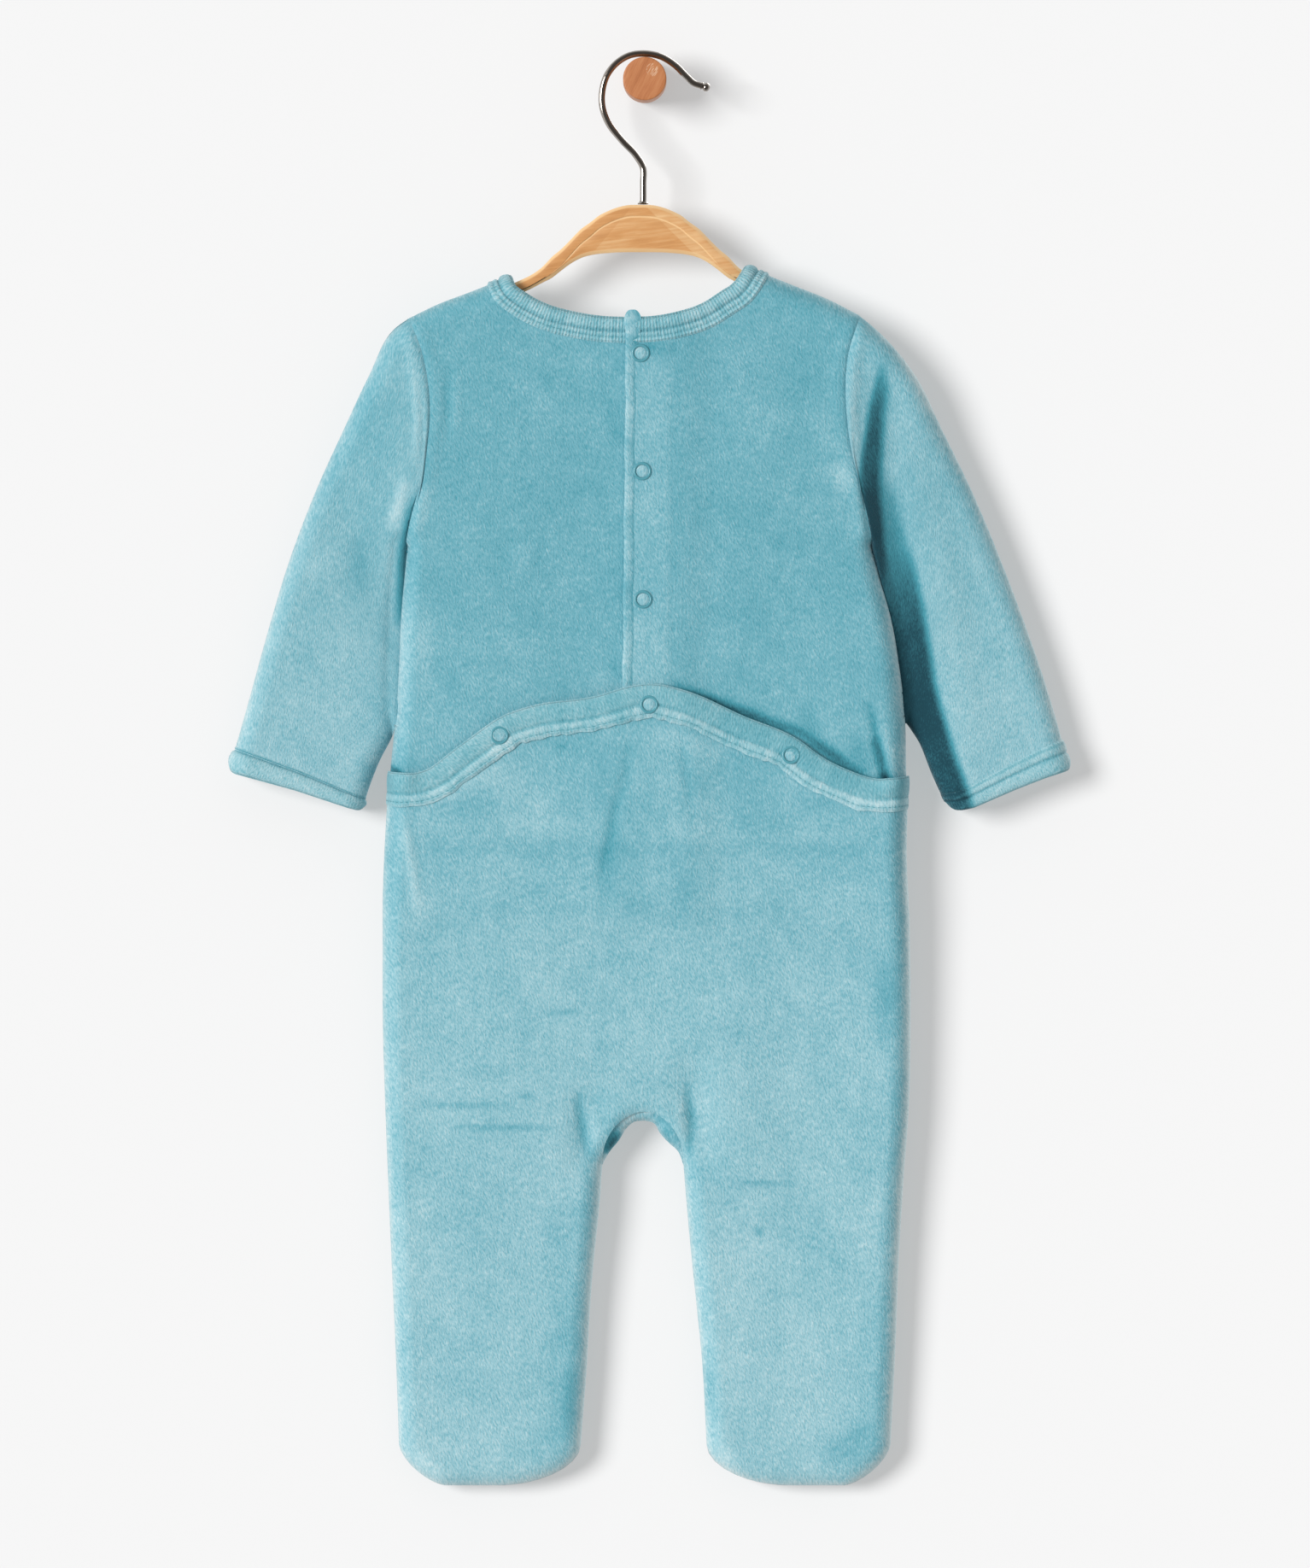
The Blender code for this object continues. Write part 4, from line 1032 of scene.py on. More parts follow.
def half_panel(side: Side, face: Face, drops: Array, middle: Array) -> Array:
    """Grid of half a panel, from its top through the crotch to the foot's bottom.

    Args:
        side: which half.
        face: the side of the garment it lies on.
        drops: drops of the outer ends of its rows down the torso.
        middle: points at which those rows meet the other half.

    Returns:
        The grid's points, each row from the outside inwards.
    """
    crotch = np.linspace(*CROTCH_DROPS, CROTCH_ROWS[face])
    leg = np.arange(CROTCH_DROPS[1] + ROW_STEP[face], FOOT_TOP, ROW_STEP[face])
    foot = np.sin(np.linspace(0, math.pi / 2, FOOT_ROWS))
    outer = [edge_line(BODY_EDGE, side, rows) for rows in (drops, crotch, leg)]
    arch = crotch_arc(side, np.linspace(0, 1, CROTCH_ROWS[face]), face)
    inner = [middle, arch, edge_line(INSEAM, side, leg), foot_corner(side, False, foot)]
    return between(np.vstack([*outer, foot_corner(side, True, foot)]), np.vstack(inner), PANEL_SHARES[face])


def neck_edge(side: Side, face: Face, shares: Array) -> Array:
    """Points along one side of the neck's edge, from the shoulder (share 0) to the middle."""
    rows, middle = (NECK_BACK, NECK_BACK_MIDDLE) if face is Face.BACK else (NECK_FRONT, NECK_FRONT_MIDDLE)
    curve = [(on_side(row, side), row.drop) for row in rows]
    corner = side_points(SHOULDER, side)[NECK_POINT_ROW]
    return flowing_line([corner, *curve, (CLOSING_TOP, middle)], shares)


def top_edge(side: Side, face: Face) -> Array:
    """Upper edge of half a panel: the shoulder from its tip, then the neck to its middle."""
    shares = PANEL_SHARES[face]
    on_neck = shares >= TOP_ROW_SPLIT
    seam = side_points(SHOULDER, side)[NECK_POINT_ROW:][::-1]
    shoulder = flowing_line(seam, shares[~on_neck] / TOP_ROW_SPLIT)
    return np.vstack([shoulder, neck_edge(side, face, np.interp(shares[on_neck], *NECK_COLUMNS))])


def painted_edge_light(points: Array) -> Array:
    """Painted light along the outline, as nap: a painted highlight on every turned edge, stronger on the
    edges that face away from the light, and painted shade a few millimetres inside those edges.
    """
    inside, inward = FORM.measure(points)
    away = np.clip(-inward[:, 0], 0, 1) * (0.25 + 0.75 * ease(points[:, 1], 330, 420))
    return 0.75 * bell(inside, 2.2) + 0.7 * away * bell(inside, 3.2) - 0.3 * away * bell(inside - 7, 3.2)


@dataclass
class ClothPiece:
    """A cut piece of velour: where it lies, how it is folded, and how it was cut."""

    node: str
    face: Face
    marks: tuple[Mark, ...]
    flat: tuple[float, float]
    area: float
    rests_on: tuple[str, ...] = ("hanger_arm",)
    nodes: tuple[str, ...] = ()
    lone: bool = False

    def lay(
        self, points: Array, quads: Array, lift: Array, nap: Array, relief: float | Array = 0
    ) -> None:
        """Lay the piece on the form as a closed shell.

        Args:
            points: flat points of the piece.
            quads: faces between them.
            lift: how far its outer skin stands out from the form.
            nap: how the pile leans, without the marks.
            relief: height of its own shaping, without the marks.
        """
        height, strokes_and_painted_light = spread_marks(points, self.marks)
        skins = [FORM.place(points, self.face, lift - deep, relief=height + relief) for deep in (0, CLOTH)]
        naps = np.tile(nap + strokes_and_painted_light + painted_edge_light(points), 2)
        nodes = () if self.lone else self.nodes or (self.node,)
        faces = shell_faces(quads, len(points))
        cut = np.vstack([points, points])
        made = add_mesh(self.node + "_velour", skins, faces, VELOUR, "velour", cut, naps, stands_for=nodes)


BACK_NAP = -0.42
# How much paler the pile grows, and over which drops: down the seat, then down the legs.
SEAT_PALER = (0.62, 250, 520)
LEGS_PALER = (0.12, 560, 720)
FURROW_DEPTH = 0.9
FURROW_WIDTH = 0.85
FURROW_WIDENING = 1.6
FURROW_WIDE_FROM = 195
UNDERARM_FOLD = 3.2
UNDERARM_FOLD_FROM = 192
PANEL_SHARE_OF_FOLD = 0.65
# The low swell beside a seam: its height on the panel and on the sleeve, how far off it is, and its widths.
PANEL_SWELL = 0.35
SLEEVE_SWELL = 0.7
SWELL_AWAY = 4.5
PANEL_SWELL_WIDTH = 2.8
SLEEVE_SWELL_WIDTH = 3


def body_brush(points: Array) -> Array:
    """How the pile leans on the body: deeper over the back, paler towards the legs."""
    steps = [rise * ease(points[:, 1], start, end) for rise, start, end in (SEAT_PALER, LEGS_PALER)]
    return BACK_NAP + sum(steps)


def from_edges(points: Array) -> list[Array]:
    """How far points are from the body's left edge and from its right one."""
    return [np.abs(points[:, 0] - edge_x(BODY_EDGE, side, points[:, 1])) for side in Side]


def armhole_depth(drop: Array) -> Array:
    """How deep the sleeve starts in the armhole's furrow, growing into a fold towards the underarm."""
    return FURROW_DEPTH + UNDERARM_FOLD * ease(drop, UNDERARM_FOLD_FROM, UNDERARM + 2) ** 1.6


def armhole_dip(points: Array) -> Array:
    """The furrow in which a panel's edge meets the sleeve, above the underarm."""
    drop = points[:, 1]
    width = FURROW_WIDTH + FURROW_WIDENING * ease(drop, FURROW_WIDE_FROM, UNDERARM)
    above = 1 - ease(drop, UNDERARM - 1, UNDERARM + 12)
    deep = FURROW_DEPTH + PANEL_SHARE_OF_FOLD * (armhole_depth(drop) - FURROW_DEPTH)
    swells = [PANEL_SWELL * bell(away - SWELL_AWAY, PANEL_SWELL_WIDTH) for away in from_edges(points)]
    furrows = [deep * bell(away, width) for away in from_edges(points)]
    return above * (sum(swells) - sum(furrows))


@dataclass
class FrontPanel(ClothPiece):
    """The front, one piece from the shoulders to the feet."""

    def build(self) -> None:
        """Build and lay the panel."""
        drops = down_to(self.face, TORSO_END)
        middle = np.interp(drops, [drops[0], CROTCH_DROPS[0]], [NECK_FRONT_MIDDLE, CROTCH_TOP])
        share = (middle - NECK_FRONT_MIDDLE) / (CROTCH_TOP - NECK_FRONT_MIDDLE)
        spine = np.column_stack([CLOSING_TOP * (1 - share), middle])
        halves = [half_panel(side, self.face, drops, spine) for side in Side]
        tops = [top_edge(side, self.face) for side in Side]
        halves = [bend_top(half, top, TOP_FADE_END) for half, top in zip(halves, tops)]
        points, quads = two_halves(*halves, len(drops) + 1)
        self.lay(points, quads, np.zeros(len(points)), body_brush(points), armhole_dip(points))


@dataclass
class UpperBack(ClothPiece):
    """One half of the upper back; the right one laps over the left one."""

    side: Side = Side.LEFT
    strip_width: float = 21.5
    strip_fade: float = 2.6
    strip_rise: float = 0.35
    strip_nap: float = 0.30

    def build(self) -> None:
        """Build and lay the panel."""
        drops = down_to(self.face, UPPER_BACK_END)
        middle = np.interp(drops, [drops[0], drops[-1]], [NECK_BACK_MIDDLE, drops[-1]])
        ends = (edge_line(BODY_EDGE, self.side, drops), np.column_stack([closing_x(middle), middle]))
        grid = between(*ends, PANEL_SHARES[self.face])
        grid = bend_top(grid, top_edge(self.side, self.face), TOP_FADE_END)
        if self.side is Side.LEFT:
            lap = grid[:, -1:] + np.array([1, 0]) * np.linspace(0, CLOSING_LAP, 8)[1:, None]
            grid = np.concatenate([grid, lap], axis=1)
        points = grid.reshape(-1, 2)
        over = float(self.side is Side.RIGHT)
        away = points[:, 0] - closing_x(points[:, 1])
        strip = over * (1 - ease(away, self.strip_width, self.strip_width + self.strip_fade))
        nap = body_brush(points) + self.strip_nap * strip
        relief = armhole_dip(points) + self.strip_rise * strip
        self.lay(points, grid_faces(numbered(grid)), over * closing_lift(points), nap, relief)


@dataclass
class LowerBack(ClothPiece):
    """The seat flap and the backs of both legs, one piece."""

    rows: int = 106
    held_down: float = 0.3
    held_width: float = 10

    @staticmethod
    def upper_line() -> Array:
        """The flap's upper edge as a dense line."""
        return flowing_line(FLAP_EDGE, np.linspace(0, 1, 280))

    def half(self, side: Side) -> Array:
        """Grid of half the panel."""
        line_x, line_drop = self.upper_line().T
        start = line_drop[0] if side is Side.LEFT else line_drop[-1]
        drops = np.linspace(start, TORSO_END, self.rows)
        middle_start = np.interp(0, line_x, line_drop)
        middle = np.interp(drops, [start, CROTCH_DROPS[0]], [middle_start, BACK_CROTCH_TOP])
        grid = half_panel(side, self.face, drops, np.column_stack([np.zeros(self.rows), middle]))
        x = grid[0, :, 0]
        return bend_top(grid, np.column_stack([x, np.interp(x, line_x, line_drop)]), FLAP_BEND_END)

    def build(self) -> None:
        """Build and lay the panel."""
        points, quads = two_halves(self.half(Side.LEFT), self.half(Side.RIGHT), self.rows + 1)
        free = ease(np.minimum(*from_edges(points)), 0, self.held_width)
        lift = flap_lift(points) * (self.held_down + (1 - self.held_down) * free)
        self.lay(points, quads, lift, body_brush(points))


@dataclass
class CrotchTurn(ClothPiece):
    """The strip of the front that turns up round the crotch and is sewn beneath the back's arch."""

    tuck: float = 1.6
    sunk: float = 0.25
    # The strip is painted deeper, as shade where it faces down into the crotch.
    nap: float = -0.35
    columns: int = 12

    def build(self) -> None:
        """Build and lay the strip."""
        shares = np.linspace(0, 1, 26)
        back, front = (
            np.vstack([crotch_arc(Side.LEFT, shares, face)[::-1], crotch_arc(Side.RIGHT, shares, face)[1:]])
            for face in Face
        )
        run = np.maximum(np.linalg.norm(front - back, axis=1), 0.4)[:, None]
        back = back + (back - front) / run * self.tuck * np.clip(run / 3, 0, 1)
        steps = np.linspace(0, 1, self.columns)
        grid = between(front, back, steps)
        lift = np.tile(-(CLOTH + self.sunk) * ease(steps, 0.2, 0.75), len(front))
        self.lay(grid.reshape(-1, 2), grid_faces(numbered(grid)), lift, np.full(len(lift), self.nap))


@dataclass(frozen=True)
class BindingSection:
    """Cross-section of a folded binding strip: a rolled edge, a furrow, and the stitched part.

    Widths are shares of the strip's width, from its folded edge (0) to its raw one (1).
    """

    roll_end: float
    roll_rise: float
    base_rise: float
    furrow: float
    stitch_rows: tuple[float, ...]
    overhang: float
    under: float
    folded_edge_first: bool = True
    furrow_painted_shade: float = 0.6
    roll_painted_light: float = 0.2
    stitched_nap: float = 0.1
    steps: int = 22
    raw_rise: float = 0.25
    thread_sunk: float = 0.12

    def height(self, s: Array, width: float) -> Array:
        """Height of the strip's outer skin at a distance from its folded edge."""
        share = np.clip(s / width, 0, 1)
        roll = self.roll_rise * np.sin(math.pi * np.clip(share / self.roll_end, 0, 1)) ** 0.6
        flat = self.roll_rise * 0.55 * ease(share, self.roll_end, self.roll_end + 0.12)
        rise = self.base_rise + np.where(share < self.roll_end, roll, flat)
        rise -= self.furrow * sum(bell((share - row) * width, 0.75) for row in self.stitch_rows)
        tail = ease(share, 0.90, 1)
        return rise * (1 - tail) + self.raw_rise * tail

    def nap(self, s: Array, width: float) -> Array:
        """Painted light across the strip, as nap: painted shade in the furrows, a painted highlight or
        shade on the roll, and the stitched part's own nap.
        """
        share = np.clip(s / width, 0, 1)
        lean_and_painted_light = self.roll_painted_light * np.sin(math.pi * np.clip(share / self.roll_end, 0, 1)) ** 0.5
        lean_and_painted_light = lean_and_painted_light + self.stitched_nap * ease(share, self.roll_end, self.roll_end + 0.1)
        return lean_and_painted_light - self.furrow_painted_shade * sum(bell((share - row) * width, 0.8) for row in self.stitch_rows)

    def loop(self, width: float) -> Array:
        """Closed loop of (distance from the folded edge, height), out along the skin and back below it."""
        s = np.concatenate([[0, 0.15, 0.45, 0.9], np.linspace(0, 1, self.steps)[1:] * width])
        top = np.column_stack([s, self.height(s, width)])
        turn = np.linspace(-math.pi / 2, math.pi / 2, 7)[1:-1]
        middle = (top[0, 1] - self.under) / 2
        reach = (top[0, 1] + self.under) / 2
        round_edge = np.column_stack([-self.overhang * np.cos(turn), middle + reach * np.sin(turn)])
        below = [(width, -0.25), (width * 0.55, -0.9), (width * 0.5, -self.under), (0, -self.under)]
        loop = np.vstack([top, below, round_edge])
        if not self.folded_edge_first:
            loop[:, 0] = width - loop[:, 0]
        return loop

    def seams(self, width: float) -> list[Array]:
        """Where each row of stitches runs, as a loop of one point."""
        places = [np.array([share * width]) for share in self.stitch_rows]
        return [np.column_stack([s, self.height(s, width) - self.thread_sunk]) for s in places]


STITCH = 2
STITCH_GAP = 0.75
STITCH_START = 0.15
THREAD_RADIUS = 0.24
# Places along a stitch, and how plump the thread is there.
STITCH_SHARES = np.array([0, 0.18, 0.5, 0.82, 1])
STITCH_PLUMPNESS = np.array([0.35, 0.95, 1.15, 0.95, 0.35])[:, None, None]


def stitches(name: str, rows: Sequence[Array], closed: bool) -> Object:
    """Rows of sewing stitches: short plump dashes of thread along lines.

    Args:
        name: the piece's name.
        rows: lines of points that the stitches follow.
        closed: whether each line runs on into its start.

    Returns:
        The piece that holds all the stitches.
    """
    cosines, sines = circle(5)
    points: list[Array] = []
    faces: list[list[int]] = []
    for row in rows:
        line = np.vstack([row, row[:1]]) if closed else np.asarray(row)
        line = line[np.r_[True, np.linalg.norm(np.diff(line, axis=0), axis=1) > 1e-6]]
        along = lengths(line)
        for number in range(int(along[-1] // (STITCH + STITCH_GAP))):
            at = (number + STITCH_START) * (STITCH + STITCH_GAP) + STITCH_SHARES * STITCH
            middle = np.column_stack([np.interp(at, along, column) for column in line.T])
            direction = unit(middle[-1] - middle[0])
            across = np.cross(direction, [0, 1, 0])
            size = np.linalg.norm(across)
            across = np.array([1, 0, 0]) if size < 1e-3 else across / size
            ring = np.outer(cosines, across) + np.outer(sines, np.cross(across, direction))
            rings = middle[:, None] + THREAD_RADIUS * STITCH_PLUMPNESS * ring
            first = len(points) * rings.shape[0] * rings.shape[1]
            faces += [[first + k for k in face] for face in capped_tube(rings)]
            points.append(rings)
    return add_mesh(name, np.concatenate(points), faces, THREAD, "velour_trim")


@dataclass
class Strip:
    """A strip folded over an edge and stitched down.

    Its mesh is named for its role, and it stands for the solid of the same name.
    """

    name: str
    kind: str
    node: str
    section: BindingSection
    width: float
    flat: tuple[float, float]
    rests_on: str
    finish: Finish = TRIM
    nap: float = 0
    closed: bool = False

    def lay(self, profile: Array) -> Array:
        """Lay points of a cross-section all along the strip."""
        raise NotImplementedError

    def nap_and_painted_light(self, profile: Array, along: Array) -> Array:
        """Nap of the strip, with its painted light and shade."""
        raise NotImplementedError

    def build(self) -> None:
        """Build the strip and its stitches."""
        profile = self.section.loop(self.width)
        rings = self.lay(profile)
        along = lengths(rings[:, 5])
        cut = np.stack(np.broadcast_arrays(along[:, None], lengths(profile)), axis=2)
        self.sew(rings, capped_tube(rings), cut, self.nap_and_painted_light(profile, along))

    def sew(self, rings: Array, faces: Sequence, cut: Array, nap: Array) -> None:
        """Add the strip and the threads that hold it.

        Args:
            rings: its points.
            faces: its faces.
            cut: the points' places on the cut.
            nap: how their pile leans.
        """
        name = f"{self.node}_{self.kind}"
        made = add_mesh(name, rings, faces, self.finish, "velour_trim", cut, nap, stands_for=(self.node,))
        rows = [self.lay(seam).reshape(-1, 3) for seam in self.section.seams(self.width)]
        threads = stitches(f"{self.name}_stitches", rows, self.closed)


class SleeveEnd(NamedTuple):
    """A sleeve's end: how far it bulges on at places across it, and the radii of its two corners."""

    across: tuple[float, ...]
    bulge: tuple[float, ...]
    outer_round: float
    inner_round: float


def rounded(away: Array, radius: float) -> Array:
    """How far a rounded corner falls back at a distance from its side."""
    t = np.clip(1 - away / radius, 0, 1)
    return radius * (1 - np.sqrt(1 - t * t))


SLEEVE_LENGTH = 250
SLEEVE_WIDTH = 92


@dataclass
class Sleeve:
    """A sleeve, one tube of cloth with its seam along the inner edge."""

    side: Side
    marks: dict[Face, tuple[Mark, ...]]
    end: SleeveEnd
    flat: tuple[float, float] = (0.200, 0.265)
    area: float = 0.033
    nap: float = 0
    # Zones of painted shadow on the sleeve's back.
    shades: tuple[tuple[Shade, ...], ...] = ()
    valley: float = 4
    snug: float = 0.3
    under_body: float = 3
    least_inside: float = 5
    sunk_start: float = 7
    sunk_end: float = 1.2
    end_paler: float = 0.25
    cuff_folds: float = 0.6
    stations: int = 100

    @staticmethod
    def tucked(drop: Array) -> Array:
        """How far the inner edge is tucked under the body, from 0 to 1, at a drop."""
        return ease(drop, UNDERARM - 1, UNDERARM + 8) * (1 - ease(drop, 322, 335))

    def line(self, rows: Sequence[Pair], shares: Numbers) -> Array:
        """Points along one of the sleeve's edges, running on straight above share 1."""
        points = side_points(rows, self.side)
        start, end = flowing_line(points, [0.98, 1])
        beyond = np.maximum(np.asarray(shares, float) - 1, 0)[:, None]
        return flowing_line(points, np.minimum(shares, 1)) + beyond * (end - start) / 0.02

    def grid(self, shares: Array, across: Array) -> Array:
        """Points between the sleeve's outer and inner edge, from the armhole (share 0) to its end.

        Args:
            shares: places along the sleeve; above 1 it runs on straight.
            across: places between the outer edge (0) and the inner one (1).

        Returns:
            The points, one row for each place along the sleeve.
        """
        outer, inner = (self.line(rows, shares) for rows in (SLEEVE_OUTER, SLEEVE_INNER))
        under = edge_x(BODY_EDGE, self.side, inner[:, 1]) - self.side.value * self.under_body
        weight = self.tucked(inner[:, 1])
        inner[:, 0] = inner[:, 0] * (1 - weight) + under * weight
        start, end = (self.line(rows, [0]) for rows in (SLEEVE_OUTER, SLEEVE_INNER))
        gap = np.array([self.side.value * ARMHOLE_GAP, 0])
        armhole = edge_line(BODY_EDGE, self.side, SHOULDER_TIP + across * (UNDERARM - SHOULDER_TIP)) + gap
        armhole[0] = start[0] + gap
        armhole[-1] = end[0]
        fade = (1 - ease(shares, 0, ARMHOLE_FADE))[:, None, None]
        way = unit(np.diff(self.line(SLEEVE_OUTER, [0.9, 1]), axis=0)[0])
        wide = float(np.linalg.norm(outer[-1] - inner[-1]))
        corner = rounded(across * wide, self.end.outer_round)
        corner += rounded((1 - across) * wide, self.end.inner_round)
        bulge = np.interp(across, self.end.across, self.end.bulge) * ease(shares, 0.72, 1)[:, None]
        shift = bulge - corner * ease(shares, 0.955, 1)[:, None] ** 2
        bent = (armhole - between(start, end, across)[0]) * fade
        return between(outer, inner, across) + bent + shift[..., None] * way

    def ring(self, shares: Array, lift: Array, folds: float = 1) -> tuple[Array, Array, Array]:
        """Lay rings round the sleeve.

        Args:
            shares: place of each ring along the sleeve.
            lift: how far each ring stands out from the form.
            folds: how far the rings follow the folds.

        Returns:
            The placed rings, their places on the cut, and their naps.
        """
        flat = self.grid(shares, SLEEVE_ACROSS)
        spots = flat.reshape(-1, 2)
        size = flat.shape[:2]
        settled = ease(shares, 0, SLEEVE_SETTLED)[:, None]
        depth = body_depth(flat) * (1 - settled) + SLEEVE_DEPTH * settled
        mid = HANG_PLANE + SLEEVE_SET_BACK * settled
        # Where the sleeve runs on under the body's edge, below the underarm, it stays round and sinks in.
        beyond = self.side.value * (spots[:, 0] - edge_x(BODY_EDGE, self.side, spots[:, 1])).reshape(size)
        joined = ease(flat[:, -1:, 1], UNDERARM - 1, UNDERARM + 4) * (1 - ease(beyond[:, -1:], -2, 1.5))
        below = joined * ease(flat[..., 1], 205, 232)
        least = self.least_inside * below * (1 - ease(beyond, 5, 12))
        snug = 1 - self.snug * ease(SLEEVE_ACROSS, 0.85, 1)
        lift = lift[:, None] * np.where(lift[:, None] > 0, snug, 1)
        from_seam = shares[:, None] * SLEEVE_LENGTH
        low = ease(flat[:1, :, 1], FURROW_WIDE_FROM, UNDERARM)
        dip = armhole_depth(flat[:1, :, 1]) * bell(from_seam, FURROW_WIDTH + self.valley * low)
        swell = SLEEVE_SWELL * (1 - low) * bell(from_seam - SWELL_AWAY, SLEEVE_SWELL_WIDTH)
        sunk = self.sunk_start + (self.sunk_end - self.sunk_start) * settled
        head = swell - dip - sunk * below * ease(-beyond, -0.8, 1.8)
        # Painted highlight and shade along the sleeve's outer edge.
        rim = painted_edge_light(spots).reshape(size) * (1 - ease(SLEEVE_ACROSS, 0.3, 0.5))
        rim = rim * ease(shares, 0.01, 0.06)[:, None]
        rings, naps = [], []
        for face in Face:
            height, strokes_and_painted_light = spread_marks(spots, self.marks[face])
            if face is Face.BACK:
                # The body's cast shadow on the sleeve, painted into the nap.
                strokes_and_painted_light = strokes_and_painted_light + sum(shaded(spots, rows) for rows in self.shades)
            way = slice(None, None, face.value)
            relief = height.reshape(size) * folds + head
            rings.append(FORM.place(flat, face, lift, depth, mid, relief, least)[:, way])
            naps.append((strokes_and_painted_light.reshape(size) + rim)[:, way])
        columns = np.r_[SLEEVE_ACROSS, 1 + SLEEVE_ACROSS] * SLEEVE_WIDTH
        cut = np.stack(np.broadcast_arrays(columns, from_seam), axis=2)
        return np.concatenate(rings, axis=1), cut, np.concatenate(naps, axis=1)

    def build(self) -> None:
        """Build the sleeve's tube."""
        shares = np.linspace(0, 1, self.stations + 1) ** 1.08
        outer, cut, nap = self.ring(shares, np.zeros(len(shares)))
        inner, _, _ = self.ring(shares, np.full(len(shares), -CLOTH))
        faces = shell_faces(grid_faces(numbered(outer), ring=True), outer[..., 0].size)
        nap = nap + self.nap + self.end_paler * ease(shares, 0.3, 1)[:, None]
        node = f"sleeve_{self.side.name.lower()}"
        twice = (np.stack([cut, cut]), np.stack([nap, nap]))
        skins = [outer, inner]
        made = add_mesh(f"{node}_velour", skins, faces, VELOUR, "velour", *twice, stands_for=(node,))


@dataclass
class CuffBand(Strip):
    """The band that a sleeve's end is bound with."""

    sleeve: Optional[Sleeve] = None

    def rings(self, profile: Array) -> tuple[Array, Array, Array]:
        """Rings round the sleeve at a cross-section's points, their places on the cut, and their naps."""
        shares = 1 - (self.width - profile[:, 0]) / SLEEVE_LENGTH
        return self.sleeve.ring(shares, profile[:, 1], self.sleeve.cuff_folds)

    def lay(self, profile: Array) -> Array:
        """Lay points of a cross-section all round the sleeve."""
        return self.rings(profile)[0]

    def build(self) -> None:
        """Build the band and its stitches."""
        profile = self.section.loop(self.width)
        rings, cut, nap = self.rings(profile)
        cut = np.stack(np.broadcast_arrays(cut[..., 0], lengths(profile)[:, None]), axis=2)
        lean_and_painted_light = self.section.nap(self.width - profile[:, 0], self.width)[:, None] + self.nap
        fuzz = 0.22 * uneven(cut[..., 0] + 2 * cut[..., 1], 2.3, 11)
        self.sew(rings, grid_faces(numbered(rings), ring=True, wrapped=True), cut, nap + lean_and_painted_light + fuzz)


def smoothed(values: Array, reach: int) -> Array:
    """Values as means over that many neighbours on either side."""
    count = 2 * reach + 1
    return np.convolve(np.pad(values, reach, mode="edge"), np.ones(count) / count, mode="valid")


def downward_normals(line: Array) -> Array:
    """Unit normals of a line, turned so that they point down the garment."""
    along = np.gradient(line, axis=0)
    normal = unit(np.column_stack([-along[:, 1], along[:, 0]]))
    return normal * np.where(normal[:, 1:] < 0, -1, 1)


# The neck's stretches from the left of the closing to its right, and which way each one is run.
NECK_ROUND = (
    (Side.LEFT, Face.BACK, slice(None)),
    (Side.LEFT, Face.FRONT, slice(None, None, -1)),
    (Side.RIGHT, Face.FRONT, slice(1, None)),
    (Side.RIGHT, Face.BACK, slice(None, None, -1)),
)


@dataclass
class NeckBinding(Strip):
    """The strip round the neck, folded over the edge and stitched down twice."""

    stations: int = 90
    shoulder_bend: float = 5

    def stretch(self, side: Side, face: Face) -> tuple[Array, Array]:
        """The neck's edge on one side and face, from the middle to the shoulder, and its normals."""
        line = neck_edge(side, face, (np.linspace(0, 1, self.stations) ** 1.2)[::-1])
        if face is Face.BACK:
            line[0, 0] = closing_x(line[0, 1]) + (1.2 if side is Side.RIGHT else 4)
        normal = downward_normals(line)
        normal[0] = (0, 1)
        tip = side_points(SHOULDER, side)[NECK_POINT_ROW:]
        weight = bell(np.linalg.norm(line - line[-1], axis=1), self.shoulder_bend)[:, None]
        return line, unit(normal * (1 - weight) + unit(tip[1] - tip[0]) * weight)

    def lay(self, profile: Array) -> Array:
        """Lay points of a cross-section all along the neck, from the left of the closing to its right."""
        placed = []
        for side, face, way in NECK_ROUND:
            line, normal = self.stretch(side, face)
            flat = line[:, None, :] + profile[None, :, :1] * normal[:, None, :]
            lift = np.broadcast_to(profile[:, 1], flat.shape[:2])
            if side is Side.RIGHT and face is Face.BACK:
                lift = lift + closing_lift(flat) * ease(flat[..., 1], 100, 116)
            placed.append(FORM.place(flat, face, lift)[way])
        return np.concatenate(placed)

    def nap_and_painted_light(self, profile: Array, along: Array) -> Array:
        """Nap of the strip, patchy along its ribs, with painted shade in its furrows."""
        return self.section.nap(profile[:, 0], self.width) + self.nap + 0.3 * uneven(along, 1.8, 7)[:, None]


